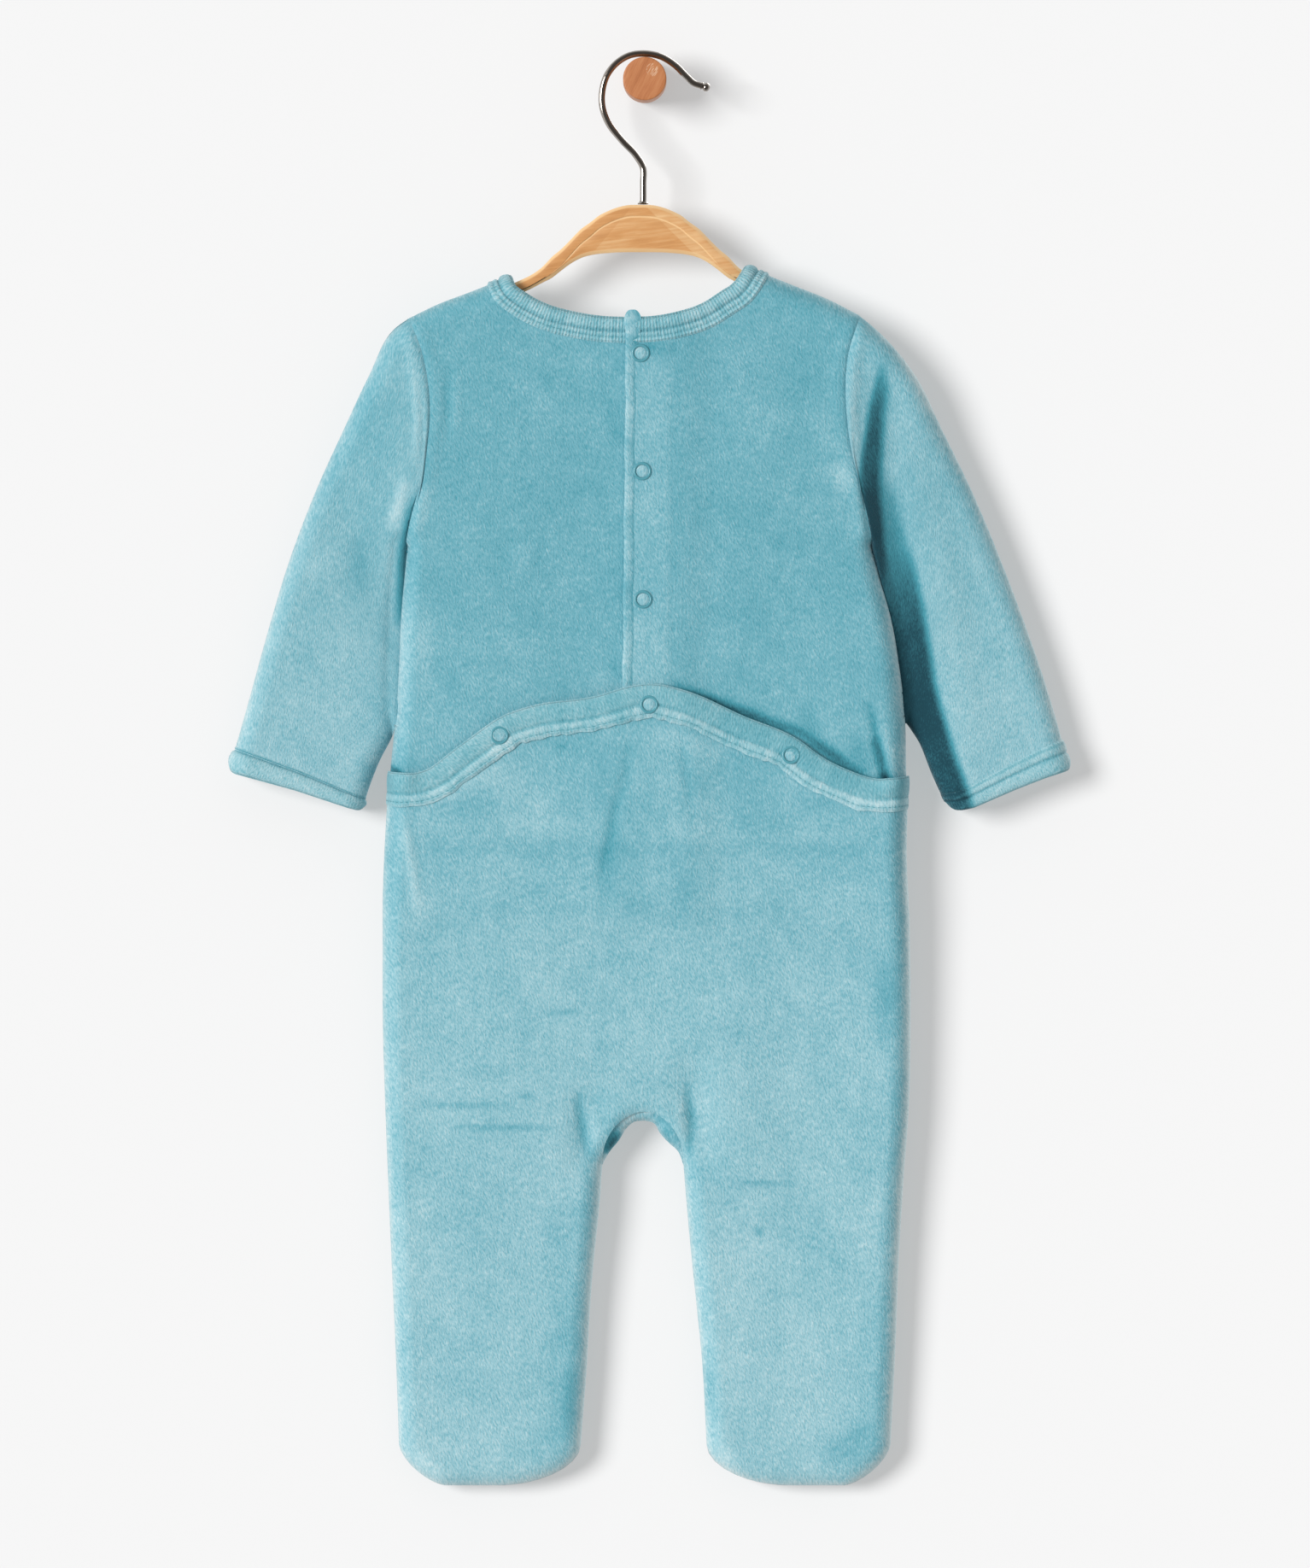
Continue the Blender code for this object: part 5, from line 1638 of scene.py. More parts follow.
@dataclass
class FlapBinding(Strip):
    """The strip along the seat flap's upper edge, from side seam to side seam."""

    side_reach: tuple[float, float] = (10.7, 24)
    corner_gape: float = 2.4
    end_taper: tuple[float, float] = (0, 8)
    over_flap: float = 0.55
    frayed: float = 0.55

    def lay(self, profile: Array) -> Array:
        """Lay points of a cross-section all along the flap's edge."""
        dense = LowerBack.upper_line()
        ends = zip(Side, (dense[0, 1], dense[-1, 1]))
        first, last = (float(edge_x(BODY_EDGE, side, drop)) for side, drop in ends)
        x = first + (last - first) * turning_shares(0.04, 8, 190)
        drops = np.interp(x, dense[:, 0], dense[:, 1])
        line = np.column_stack([x, smoothed(drops, 3)])
        out, high = profile.T
        raw = ease(out / self.width, 0.7, 1)
        s = out - self.section.overhang + self.frayed * raw * (uneven(x, 3.1, 3) + uneven(x, 9, 4))[:, None]
        flat = line[:, None, :] + s[..., None] * downward_normals(line)[:, None, :]
        for side in Side:
            inward = np.abs(line[:, 0] - edge_x(BODY_EDGE, side, line[:, 1]))[:, None]
            weight = (1 - ease(inward, *self.side_reach))[..., None]
            drop = line[:, 1:] + s
            edge = edge_x(BODY_EDGE, side, drop) - side.value * inward
            flat = flat * (1 - weight) + np.stack([edge, drop], axis=2) * weight
        away = np.minimum(np.abs(x - first), np.abs(x - last))
        taper = 0.3 + 0.7 * ease(away, *self.end_taper)[:, None]
        gape = self.corner_gape * bell(away - 8, 6)
        lift = (flap_lift(flat) + self.over_flap + np.maximum(high, 0)) * taper + np.minimum(high, 0)
        lift = lift + gape[:, None] * (1 - ease(s, 0, 9))
        wavy = 0.16 * uneven(x, 2.6, 5)[:, None] * ease(s, 7, 9) + 0.2 * uneven(x, 11, 6)[:, None]
        return FORM.place(flat, Face.BACK, lift + wavy * (high > 0.3))

    def nap_and_painted_light(self, profile: Array, along: Array) -> Array:
        """Nap of the strip: a painted highlight on its left part, towards the light, deeper on its right
        half, painted shade in its furrows, and patchy where the stitches pucker it.
        """
        share = (along / along[-1])[:, None]
        bend = 0.5 * bell(share - 0.235, 0.045)
        fuzz = ease(profile[:, 0] / self.width, 0.5, 0.62)
        pucker = 0.35 * fuzz * uneven(along, 1.9, 8)[:, None] + 0.2 * uneven(along, 7, 9)[:, None]
        # Painted highlight on the strip's left part, towards the light.
        left = 0.2 * (1 - ease(share, 0.36, 0.62))
        right = 0.3 * ease(share, 0.6, 0.75) * fuzz
        return self.section.nap(profile[:, 0], self.width) + pucker + self.nap + left + bend + right


@dataclass
class ClosingEdge:
    """The right back panel's turned edge, a soft roll down the closing with a stitched furrow beside it."""

    top: float = 119.2
    bottom: float = 331
    width: float = 6.2
    wider_top: float = 2.6
    rise: float = 0.85
    step: float = 1.6
    flat: tuple[float, float] = (0.010, 0.214)
    area: float = 0.0015

    def build(self) -> None:
        """Build the roll, steep at its free edge and running out softly onto the panel."""
        top = self.top
        turning = top + np.array([0, 0.3, 0.9, 1.8, 2.9])
        drops = np.r_[turning, np.arange(top + 4.2, self.bottom, self.step)]
        s = np.array([0, 0.02, 0.06, 0.12, 0.2, 0.3, 0.42, 0.55, 0.68, 0.82, 1])
        skin = np.r_[0.06 + self.rise * np.sin(math.pi * s**0.55) ** 0.8, -0.5, -CLOTH, -CLOTH]
        # Across the roll: a painted highlight on its free edge, towards the light, and painted shade in the
        # furrow beside it.
        nap = np.r_[0.25 - 0.25 * s - 0.65 * bell(s - 0.84, 0.15), 0, 0, 0]
        s = np.r_[s, 1, 0.5, 0]
        above = 1 - ease(drops, top + 4, 140)
        pointed = 0.3 + 0.7 * np.sin(math.pi / 2 * np.clip((drops - top) / 5, 0, 1)) ** 0.6
        width = (self.width + self.wider_top * above) * pointed
        middle = closing_x(np.maximum(drops, NECK_BACK_MIDDLE)) - 0.9 + self.width / 2 + 0.4 * above
        sway = 0.2 * np.sin(drops / 6.3) + 0.12 * np.sin(drops / 2.9 + 1)
        x = (middle + sway)[:, None] + (s - 0.5) * width[:, None]
        flat = np.stack(np.broadcast_arrays(x, drops[:, None]), axis=2)
        started = ease(drops, top, top + 5)
        over_binding = 1.3 * (1 - ease(drops, 130, 141)) * started
        lift = LAYER + skin * (0.4 + 0.6 * started)[:, None] + (skin > 0) * over_binding[:, None]
        rings = FORM.place(flat, Face.BACK, lift)
        patchy = 0.3 * uneven(drops, 2.4, 2) + 0.2 * uneven(drops, 9, 1)
        nap_and_painted_light = body_brush(flat.reshape(-1, 2)) + 0.3 + (patchy[:, None] + nap).reshape(-1)
        made = add_mesh("closing_edge_roll", rings, capped_tube(rings), VELOUR, "velour", flat, nap_and_painted_light)


class Carrier(Enum):
    """What a snap is set through."""

    CLOSING = "closing"
    FLAP = "flap"


@dataclass
class Snap:
    """A ring snap: an enamelled ring of prongs, with the cloth bulging up through it."""

    number: int
    x: float
    drop: float
    carrier: Carrier
    radius: float = 4.75
    hole: float = 3.25
    sunk: float = -0.7
    ring_start: float = 0.15
    cloth_start: float = 0.1
    rise: float = 0.75
    bulge: float = 0.55
    over_closing: float = 0.35
    over_flap: float = 1.75
    nap: float = 0.2
    sides: int = 40

    def seat(self) -> tuple[Array, Array]:
        """Middle of the snap on the cloth, and the cloth's normal there."""
        flat = np.array([self.x, self.drop]) + self.radius * np.column_stack(circle(16))
        closing = closing_lift(flat) + self.over_closing
        lift = closing if self.carrier is Carrier.CLOSING else flap_lift(flat) + self.over_flap
        spots = FORM.place(flat, Face.BACK, lift)
        middle = spots.mean(axis=0)
        normal = np.linalg.svd(spots - middle)[2][2]
        return middle, normal * (-1 if normal[1] > 0 else 1)

    def turned(
        self, role: str, profile: Sequence[tuple[float, float]], finish: Finish, slot: str, closed: bool
    ) -> Object:
        """Turn a profile of (radius, height) about the snap's axis."""
        middle, normal = self.seat()
        across = unit(np.cross(normal, [0, 0, 1]))
        rings = turned(profile, self.sides, middle, (across, np.cross(normal, across), normal))
        index = numbered(rings)
        faces = grid_faces(index, ring=closed, wrapped=True).tolist()
        if not closed:
            faces += [index[:, -1].tolist(), index[::-1, 0].tolist()]
        cut = np.stack([np.outer(turn, np.array(profile)[:, 0]) for turn in circle(self.sides)], axis=2)
        stands_for = (f"snap_{self.number}",) if closed else ()
        name = f"snap_{self.number}_{role}"
        return add_mesh(name, rings, faces, finish, slot, cut, self.nap, stands_for=stands_for)

    def build(self) -> None:
        """Build the ring and the cloth in it."""
        half = (self.radius - self.hole) / 2
        turns = np.linspace(0, math.pi, 9)
        outs = self.hole + half * (1 - np.cos(turns))
        highs = self.ring_start + self.rise * np.sin(turns) ** 0.8
        profile = [*zip(outs, highs), (self.radius, self.sunk), (self.hole, self.sunk)]
        self.turned("ring", profile, ENAMEL, "snap_paint", True)
        reach = self.hole - 0.05
        steps = np.linspace(0, 1, 7)
        outs = np.maximum(reach * (1 - steps), 0.02)
        highs = self.cloth_start + self.bulge * np.sin(steps * math.pi / 2) ** 0.7
        cloth = self.turned("cloth", [(reach, self.sunk), *zip(outs, highs)], VELOUR, "velour", False)


# Hanger, hook and peg.


class ArmRow(NamedTuple):
    """One place along the hanger's arm, outwards from its middle, with its top and bottom drop."""

    out: float
    top: float
    bottom: float


HANGER_MIDDLE = -2.4
HANGER = table(
    ArmRow,
    (0, 64.9, 89.3), (6.6, 65.1, 89.3), (13.6, 66.9, 89.5), (17.6, 68.6, 89.8), (21.1, 70.4, 90.1),
    (25.5, 73.9, 90.8), (30.4, 77.4, 92.2), (35.6, 82.7, 95), (40.9, 88, 98.9), (45.5, 91.8, 102.5),
    (50, 96.6, 104.8), (56, 101, 108), (60, 103, 109.9), (65, 105.2, 112.3), (79, 109.9, 117.8),
    (88, 113.6, 121.2), (96, 117.4, 123.6), (98.5, 119.4, 122.4),
)


@dataclass
class HangerArm:
    """The wooden arm: sawn to shape, its edges chamfered, with a line routed along its upper edge."""

    half_thickness: float = 4.2
    chamfer: float = 1.5
    line_in: float = 6
    line_limit: float = 0.80
    line_deep: float = 0.45
    inner_deep: float = 0.3
    steepest: float = 1.5
    stations: int = 91

    def section(self, top: float, bottom: float, slant: float) -> list[tuple[float, float, float]]:
        """One cross-section of the arm.

        Args:
            top: drop of the upper edge.
            bottom: drop of the lower edge.
            slant: how much longer a vertical step is than one across the edge.

        Returns:
            Points of (distance from the middle plane, drop, paleness of the cut).
        """
        thick = self.half_thickness
        high = bottom - top
        upper = min(self.chamfer * slant, 0.28 * high)
        lower = min(1.25 * self.chamfer, 0.22 * high)
        wanted = self.line_in * slant
        line_drop = top + min(wanted, self.line_limit * high)
        cut = float(1 - ease(wanted - self.line_limit * high, -1.6, 0.4))
        deep = self.line_deep * cut
        inner = self.inner_deep * cut
        low = bottom - lower
        front = [
            (1.3, top, 0.85),
            (0.75, top + 0.45 * upper, 0.8),
            (0.12, top + 0.92 * upper, 0.5),
            (0, top + 1.12 * upper, 0),
            (0, (top + upper + line_drop) / 2, 0),
            (0, line_drop - 0.75 * cut, 0),
            (deep, line_drop - 0.15 * cut, 0.75 * cut),
            (deep, line_drop + 0.25 * cut, 0.75 * cut),
            (inner, line_drop + 0.7 * cut, 0.1 * cut),
            (inner, (line_drop + low) / 2, 0),
            (inner, low - 0.12 * lower, 0),
            (0.35, low + 0.08 * lower, 0.55),
            (0.9, low + 0.55 * lower, 0.7),
            (1.5, bottom, 0.6),
        ]
        back = [
            (1.5, bottom, 0.3),
            (0.2, low, 0.4),
            (0, low - 0.4, 0),
            (0, (top + bottom) / 2, 0),
            (0, top + 1.12 * upper, 0),
            (1.3, top, 0.6),
        ]
        before = [(less - thick, drop, pale) for less, drop, pale in front]
        return before + [(thick - less, drop, pale) for less, drop, pale in back]

    def build(self) -> None:
        """Build the arm."""
        outs, tops, bottoms = np.array(HANGER).T
        places = outs[-1] * np.sin(np.linspace(0, math.pi / 2, self.stations)) ** 0.9
        places = np.concatenate([-places[:0:-1], places])
        tops, bottoms = (smooth_through(outs, edge, np.abs(places)) for edge in (tops, bottoms))
        slants = smoothed(np.sqrt(1 + np.gradient(tops, places) ** 2), 7)
        rows = zip(tops, bottoms, np.minimum(slants, self.steepest))
        across, drops, pale = np.moveaxis([self.section(*row) for row in rows], 2, 0)
        out = np.broadcast_to(HANGER_MIDDLE + places[:, None], drops.shape)
        rings = np.stack([out, HANG_PLANE + across, -drops], axis=2)
        looks = (HANGER_WOOD, "hanger_wood")
        add_mesh("hanger_arm_wood", rings, capped_tube(rings), *looks, None, pale, 28, ("hanger_arm",))


class Turn(NamedTuple):
    """A place along the wire after its bent part: how far on, and the radius there."""

    on: float
    radius: float


HOOK_LINE = table(
    Spot,
    (-0.8, 64.3), (-0.8, 54), (-1, 45.5), (-4.5, 39.5), (-12, 31.4), (-18.8, 22.6), (-21.9, 14), (-21.9, 6),
    (-19.4, -2.2), (-14.6, -8.2), (-8, -12.2), (0, -13.2), (8.8, -11.4), (15.8, -7), (21.4, -1.4),
    (25.4, 2.2), (29, 3.4),
)
HOOK_BALL = table(
    Turn,
    (0.05, 1.95), (0.5, 2.05), (0.8, 1.9), (0.95, 1.35), (1.15, 1.35), (1.3, 1.7), (1.75, 2.1), (2.4, 2.32),
    (3.1, 2.32), (3.75, 2.05), (4.25, 1.6), (4.6, 1), (4.75, 0.4),
)
WIRE_HOLE = 1.78
# Radius and height of the ferrule's turned profile.
FERRULE = (
    (WIRE_HOLE, -0.3), (2.6, -0.3), (3, 0), (2.9, 0.35),
    (2.2, 0.75), (1.95, 1.2), (1.95, 1.45), (WIRE_HOLE, 1.55),
)


@dataclass
class Hook:
    """The chromed wire hook, its turned ball end, and the ferrule round the stem's foot."""

    wire_radius: float = 1.7
    stations: int = 150
    sides: int = 24

    def build_wire(self) -> None:
        """Build the wire and its ball end."""
        line = flowing_line(HOOK_LINE, np.linspace(0, 1, self.stations))
        ways = unit(np.gradient(line, axis=0))
        ons, balls = np.array(HOOK_BALL).T[..., None]
        centres = np.vstack([line, line[-1] + ways[-1] * ons])[:, None]
        ways = np.vstack([ways, ways[-1:].repeat(len(ons), axis=0)])[:, None]
        radii = np.vstack([np.full((len(line), 1), self.wire_radius), balls])
        cosines, sines = circle(self.sides)
        x = centres[..., 0] - ways[..., 1] * radii * cosines
        drop = centres[..., 1] + ways[..., 0] * radii * cosines
        rings = np.stack([x, HANG_PLANE + radii * sines, -drop], axis=2)
        faces = capped_tube(rings)
        add_mesh("hanger_hook_wire", rings, faces, STEEL, "chrome", stands_for=("hanger_hook",))

    def build_ferrule(self) -> None:
        """Build the flared ferrule."""
        foot = (HOOK_LINE[0].x, HANG_PLANE, -HOOK_LINE[0].drop)
        rings = turned(FERRULE, self.sides, foot, ((1, 0, 0), (0, 1, 0), (0, 0, 1)))
        faces = grid_faces(numbered(rings), ring=True, wrapped=True)
        add_mesh("hook_ferrule_ring", rings, faces, STEEL, "chrome", stands_for=("hook_ferrule",))


@dataclass
class WallPeg:
    """The round wooden peg, sawn flat at the wall and eased at its front edge."""

    radius: float = 11.2
    length: float = 38
    edge: float = 0.8
    sides: int = 72

    def build(self) -> None:
        """Build the peg."""
        inner = self.radius - self.edge
        low = self.length - self.edge
        turns = np.linspace(0, math.pi / 2, 5)
        profile = [(self.radius, out) for out in (0, 9, 18, 27)]
        profile += [(inner + self.edge * math.cos(a), low + self.edge * math.sin(a)) for a in turns]
        profile += [(radius, self.length) for radius in (8, 4, 0.6)]
        rings = turned(profile, self.sides, (0, 0, 0), ((0, 0, 1), (1, 0, 0), (0, -1, 0))).swapaxes(0, 1)
        add_mesh("wall_peg_wood", rings, capped_tube(rings), PEG_WOOD, "peg_wood", stands_for=("wall_peg",))


# The studio.


@dataclass(frozen=True)
class SunLight:
    """A sun: its power, how far it stands to the left and above, and how soft its shadows are."""

    name: str
    power: float
    left: float
    above: float
    softness: float

    def way(self) -> Vector:
        """The direction in which it shines."""
        left = math.radians(self.left)
        above = math.radians(self.above)
        level = math.cos(above)
        return Vector((math.sin(left) * level, math.cos(left) * level, -math.sin(above)))


@dataclass
class Studio:
    """Wall, floor, light and camera; its lengths are metres."""

    wall_colour: str = "#8f8f8f"
    floor_colour: str = "#8d8c8b"
    wall_half: float = 4
    wall_foot: float = 0.0005
    wall_lean: float = 0.0235
    floor_drop: float = 0.96
    # The cloth's key grazes it from the left; the wall, close behind it, has a steeper and softer one.
    cloth_key: SunLight = SunLight("cloth_key", 2.42, 40, 5, 24)
    wall_key: SunLight = SunLight("wall_key", 5.6, 37, 8, 24)
    rear: SunLight = SunLight("rear", 1.3, 205, 24, 30)
    fill_power: float = 0.60
    wall_glow: float = 0.37
    camera_away: float = 9
    camera_x: float = 0.00528
    camera_z: float = -0.36344
    cloth_plane: float = -0.037
    seen_height: float = 0.80784
    sensor_mm: float = 36

    def plane(self, name: str, corners: Sequence[tuple[float, float, float]], colour: str) -> Object:
        """A plain matt surface of the studio, which vanishes from behind.

        Args:
            name: its name.
            corners: its corners.
            colour: its colour.

        Returns:
            The surface.
        """
        mesh = bpy.data.meshes.new(name)
        mesh.from_pydata(corners, [], [(0, 1, 2, 3)])
        made = bpy.data.materials.new(name + "_paint")
        made.use_nodes = True
        made.cycles.emission_sampling = "NONE"
        tree = made.node_tree
        shader = tree.nodes["Principled BSDF"]
        fill_sockets(shader, {"Base Color": colour, "Roughness": 0.9, "Specular IOR Level": 0.1})
        # The surface is lit by lamps of its own, whose even light takes no shadow from the garment.
        fill_sockets(shader, {"Emission Color": "#ffffff", "Emission Strength": self.wall_glow})
        behind = add_node(tree, "NewGeometry", output="Backfacing")
        mixed = add_node(tree, "MixShader", (behind, shader.outputs[0], add_node(tree, "BsdfTransparent")))
        fill_sockets(tree.nodes["Material Output"], {0: mixed})
        mesh.materials.append(made)
        surface = bpy.data.objects.new(name, mesh)
        bpy.context.scene.collection.objects.link(surface)
        for ray in ("diffuse", "glossy", "transmission", "shadow"):
            setattr(surface, f"visible_{ray}", False)
        return surface

    def shine(self, sun: SunLight, state: str = "", surfaces: Sequence[Object] = ()) -> None:
        """Add a sun.

        Args:
            sun: the sun.
            state: INCLUDE where it lights only the given surfaces, EXCLUDE where it lights all but them.
            surfaces: the surfaces.
        """
        light = bpy.data.lights.new(sun.name, "SUN")
        light.energy = sun.power
        light.angle = math.radians(sun.softness)
        made = bpy.data.objects.new(sun.name, light)
        made.rotation_euler = sun.way().to_track_quat("-Z", "Y").to_euler()
        bpy.context.scene.collection.objects.link(made)
        if surfaces:
            group = bpy.data.collections.new(sun.name + "_surfaces")
            for surface in surfaces:
                group.objects.link(surface)
            made.light_linking.receiver_collection = group
            for member in group.collection_objects:
                member.light_linking.link_state = state

    def build_world(self) -> None:
        """Even light all round; polished metal sees a darker room with a lamp at its left."""
        world = bpy.data.worlds.new("studio")
        bpy.context.scene.world = world
        world.use_nodes = True
        tree = world.node_tree
        even = tree.nodes["Background"]
        fill_sockets(even, {"Color": "#ffffff", "Strength": self.fill_power})
        way = add_node(tree, "TexCoord", output="Generated")
        x, y = (add_node(tree, "SeparateXYZ", [way], axis) for axis in "XY")
        stops = ((0, "#5e5b58"), (0.30, "#7a7774"), (0.52, "#e6e6e6"), (1, "#ffffff"))
        room = add_node(tree, "ValToRGB", [weighted_sum(tree, 0.5, (y, 0.5))], stops=stops)
        left = add_node(tree, "Math", (x, -1), operation="MULTIPLY")
        lamp = add_node(tree, "Math", (left, 0.72), operation="GREATER_THAN")
        lit = add_node(tree, "Mix", {0: lamp, 6: room, 7: "#ffffff"}, 2, data_type="RGBA", blend_type="MIX")
        mirrored = add_node(tree, "Background", (lit, 1))
        ray = add_node(tree, "LightPath", output="Is Glossy Ray")
        mixed = add_node(tree, "MixShader", (ray, even.outputs[0], mirrored))
        fill_sockets(tree.nodes["World Output"], {0: mixed})

    def build_camera(self) -> None:
        """A far camera square before the cloth, as in the photograph."""
        lens = bpy.data.cameras.new("camera")
        lens.sensor_width = self.sensor_mm
        lens.lens = self.sensor_mm * self.camera_away / self.seen_height
        lens.clip_end = 60
        made = bpy.data.objects.new("camera", lens)
        made.location = (self.camera_x, self.cloth_plane - self.camera_away, self.camera_z)
        made.rotation_euler = (math.pi / 2, 0, 0)
        bpy.context.scene.collection.objects.link(made)
        bpy.context.scene.camera = made

    def build(self) -> None:
        """Set up the studio."""
        half = self.wall_half
        low = -self.floor_drop
        near = self.wall_foot - self.wall_lean * self.floor_drop
        far = self.wall_foot + self.wall_lean * half
        corners = [(-half, near, low), (half, near, low), (half, far, half), (-half, far, half)]
        wall = self.plane("wall", corners, self.wall_colour)
        corners = [(-half, -half, low), (half, -half, low), (half, half, low), (-half, half, low)]
        floor = self.plane("floor", corners, self.floor_colour)
        self.shine(self.cloth_key, "EXCLUDE", (wall, floor))
        self.shine(self.wall_key, "INCLUDE", (wall, floor))
        self.shine(self.rear)
        self.build_world()
        self.build_camera()
        bpy.context.scene.view_settings.view_transform = "Standard"


# Folds, brushing of the pile, painted highlights and painted shade and shadow of the visible pieces, and
# plainer ones of the hidden pieces.

# The upper left back: folds and strokes, with a painted shadow in the gap where the flap binding's left end
# stands off the panel.
UPPER_LEFT_MARKS = marks(
    (2, -0.8, -2.6, 1, -132, 354.5, -126.5, 358.5), (2.2, -0.45, -0.25, 0, -101, 146, -102, 190),
    (2.4, 0.35, 0.3, 0, -97, 150, -97.5, 186), (3.6, 0.3, 0.5, 0, -120, 250, -124, 300, -126, 350),
    (9, 0, -0.25, 0, -60, 150, -30, 152), (4.5, 0, 0.5, 0, -112, 208, -116.5, 235),
    (8, 0, 0.35, 0, -114, 262, -114, 330), (4.5, 0, 0.4, 0, -52, 149, -15, 146),
    (5, 0, -0.35, 0, -17, 165, -14, 192), (4, 0, -0.45, 0, -17, 298, -13, 312),
    (9, 0.3, 0.35, 0, -70, 244, -56, 249), (8, 0.2, 0.15, 0, -100, 235, -84, 230),
    (7, 0.3, 0.15, 0, -88, 290, -36, 296),
)
# The upper right back: folds and strokes, with painted shadow along the top edge of the flap binding, in
# the gap at its right end, in the crease above that end, and beside the closing roll's top below the neck
# binding.
UPPER_RIGHT_MARKS = marks(
    (1.9, -0.9, -1.5, 0, 115.5, 320, 119.5, 341, 124.5, 360, 126.5, 372),
    (2.6, -0.6, -1.2, 1, 118.5, 343, 123.5, 360, 125.5, 372), (5.5, -0.3, -0.6, 0, 107, 336, 115, 358),
    (2.4, 0.4, 0.35, 0, 121.5, 332, 127.5, 350, 130.5, 366),
    (2.5, -0.7, -1.9, 0, 14, 314, 23, 317, 49, 327, 80, 336.6, 91, 344.4, 104.2, 354, 113, 360, 123, 362),
    (3.8, -0.5, -1, 0, 84, 340, 91, 344.5, 104, 354, 116, 361),
    (3.2, -0.3, -1.3, 0, 12, 312, 24, 316, 48, 325, 66, 330.5), (6, 0, -0.7, 0, -4, 137, 18, 140),
    (4.5, 0, -0.6, 0, -4, 139, 5, 140), (5, -0.2, -0.6, 0, 80, 322, 90, 340),
    (6, 0, 0.6, 0, 98, 196, 106, 214), (3, 0, 0.6, 0, 124.5, 262, 129, 300, 131.5, 330),
    (2, -0.8, -2.2, 1, 123, 360, 127.5, 362.5), (12, 0.3, 0.2, 0, 40, 170, 84, 176),
    (6, 0.2, 0.4, 0, 84, 160, 90, 178, 99, 198), (8, 0, 0.3, 0, 22, 162, 27, 184),
    (8, 0, -0.25, 0, 64, 236, 86, 242), (9, 0.3, 0.4, 0, 30, 291, 52, 297),
    (5, 0, 0.35, 0, 105, 215, 118, 260, 126, 300),
)
# The lower back: folds and strokes, with painted shade along its creases.
LOWER_BACK_MARKS = marks(
    (2.4, -0.6, -0.5, 0, -7.5, 339, -9.7, 359.5, -14.5, 372, -18.5, 394, -24.2, 417),
    (2.6, -0.5, -0.4, 0, 18.5, 336, 24.2, 382), (2.8, 0.8, 0.6, 0, -125.4, 376, -121, 400, -116.6, 430),
    (6, 0.3, 0.5, 0, -118, 374, -92, 364, -66, 350), (6.5, 0.3, 0.45, 0, -4, 336, 18, 340, 42, 352),
    (8, 0.3, 0.4, 0, -117, 412, -114.5, 442), (13, 0, 0.35, 0, -74, 352, -60, 392),
    (8, 0, -0.35, 0, 46, 384, 80, 388), (9, 0, -0.4, 0, -18, 422, 12, 432),
    (6, 0, -0.65, 0, 124, 448, 124, 502), (4.5, -0.2, -0.5, 0, -15, 378, -19, 402, -22, 436),
    (6, -0.2, -0.4, 0, 23, 405, 16, 440), (12, 0, -0.35, 0, -45, 580, -42, 640, -44, 690),
    (13, 0, 0.3, 0, 46, 570, 48, 700), (7, 0, -0.3, 0, -97, 514, -66, 515),
    (6, 0, -0.7, 0, -52, 706, -42, 694, -38, 660), (7, 0, -0.6, 0, 86, 708, 106, 706, 118, 690),
    (4, 0, -0.5, 0, 31, 650, 34, 694), (6, 0, -0.4, 0, -76, 707, -50, 708),
    (5, 0, 0.4, 0, -122, 700, -112, 716, -96, 722), (5, 0, 0.4, 0, 36, 700, 44, 716, 60, 722),
    (7, 0.15, 0.12, 1, -116, 386, 0, 388, 108, 387), (4, -0.1, -0.18, 1, -116, 397, 0, 398, 108, 397),
    (1.7, -0.15, -0.6, 0, -117, 529, -65.6, 528.9), (1.7, -0.15, -0.6, 0, -101.6, 540.3, -42.7, 540.6),
    (1.4, -0.1, -0.5, 0, -67.3, 524, -54.1, 524.4), (1.4, -0.1, -0.5, 0, -51.9, 481, -33, 481),
    (1.7, -0.15, -0.6, 0, 45.3, 569, 79.6, 569.3), (2, 0, -0.8, 1, 58, 593.2, 59.5, 594),
    (1.2, 0, -0.8, 0, -47, 344.5, -38, 344.5), (2.2, -0.9, -0.9, 0, -34.5, 520, -33, 538, -28.6, 557),
    (2.1, -0.9, -1.1, 0, 22, 516, 24.2, 538, 22.6, 558), (2.6, 0.5, 0.35, 0, -26, 528, -24, 554),
    (2.4, 0.5, 0.35, 0, 17.5, 524, 19, 545),
)
FRONT_MARKS = marks(
    (8, 0.7, 0.3, 0, -90, 240, -20, 252), (8, 0.7, 0.3, 0, 10, 300, 92, 286),
    (6, -0.5, -0.3, 0, -112, 372, -30, 384, 60, 380), (4, -1, -0.4, 0, -24, 500, -30, 552),
    (4, -1, -0.4, 0, 22, 500, 27, 552), (2.4, -0.3, -0.4, 0, -100, 540, -50, 536),
    (2.4, -0.3, -0.4, 0, 48, 580, 96, 575),
)
# The crotch: a painted shadow deep in the hollow beside the back's arch.
CROTCH_MARKS = marks(
    (2, -1.6, -3.6, 0, -20.5, 554.5, -16.5, 548.5, -12.5, 542.5), (1.4, -0.4, -0.8, 0, 9.5, 541, 14, 549),
    (2.2, 0.2, 1.2, 1, -12, 537, -4, 532.5, 4, 532.5),
)
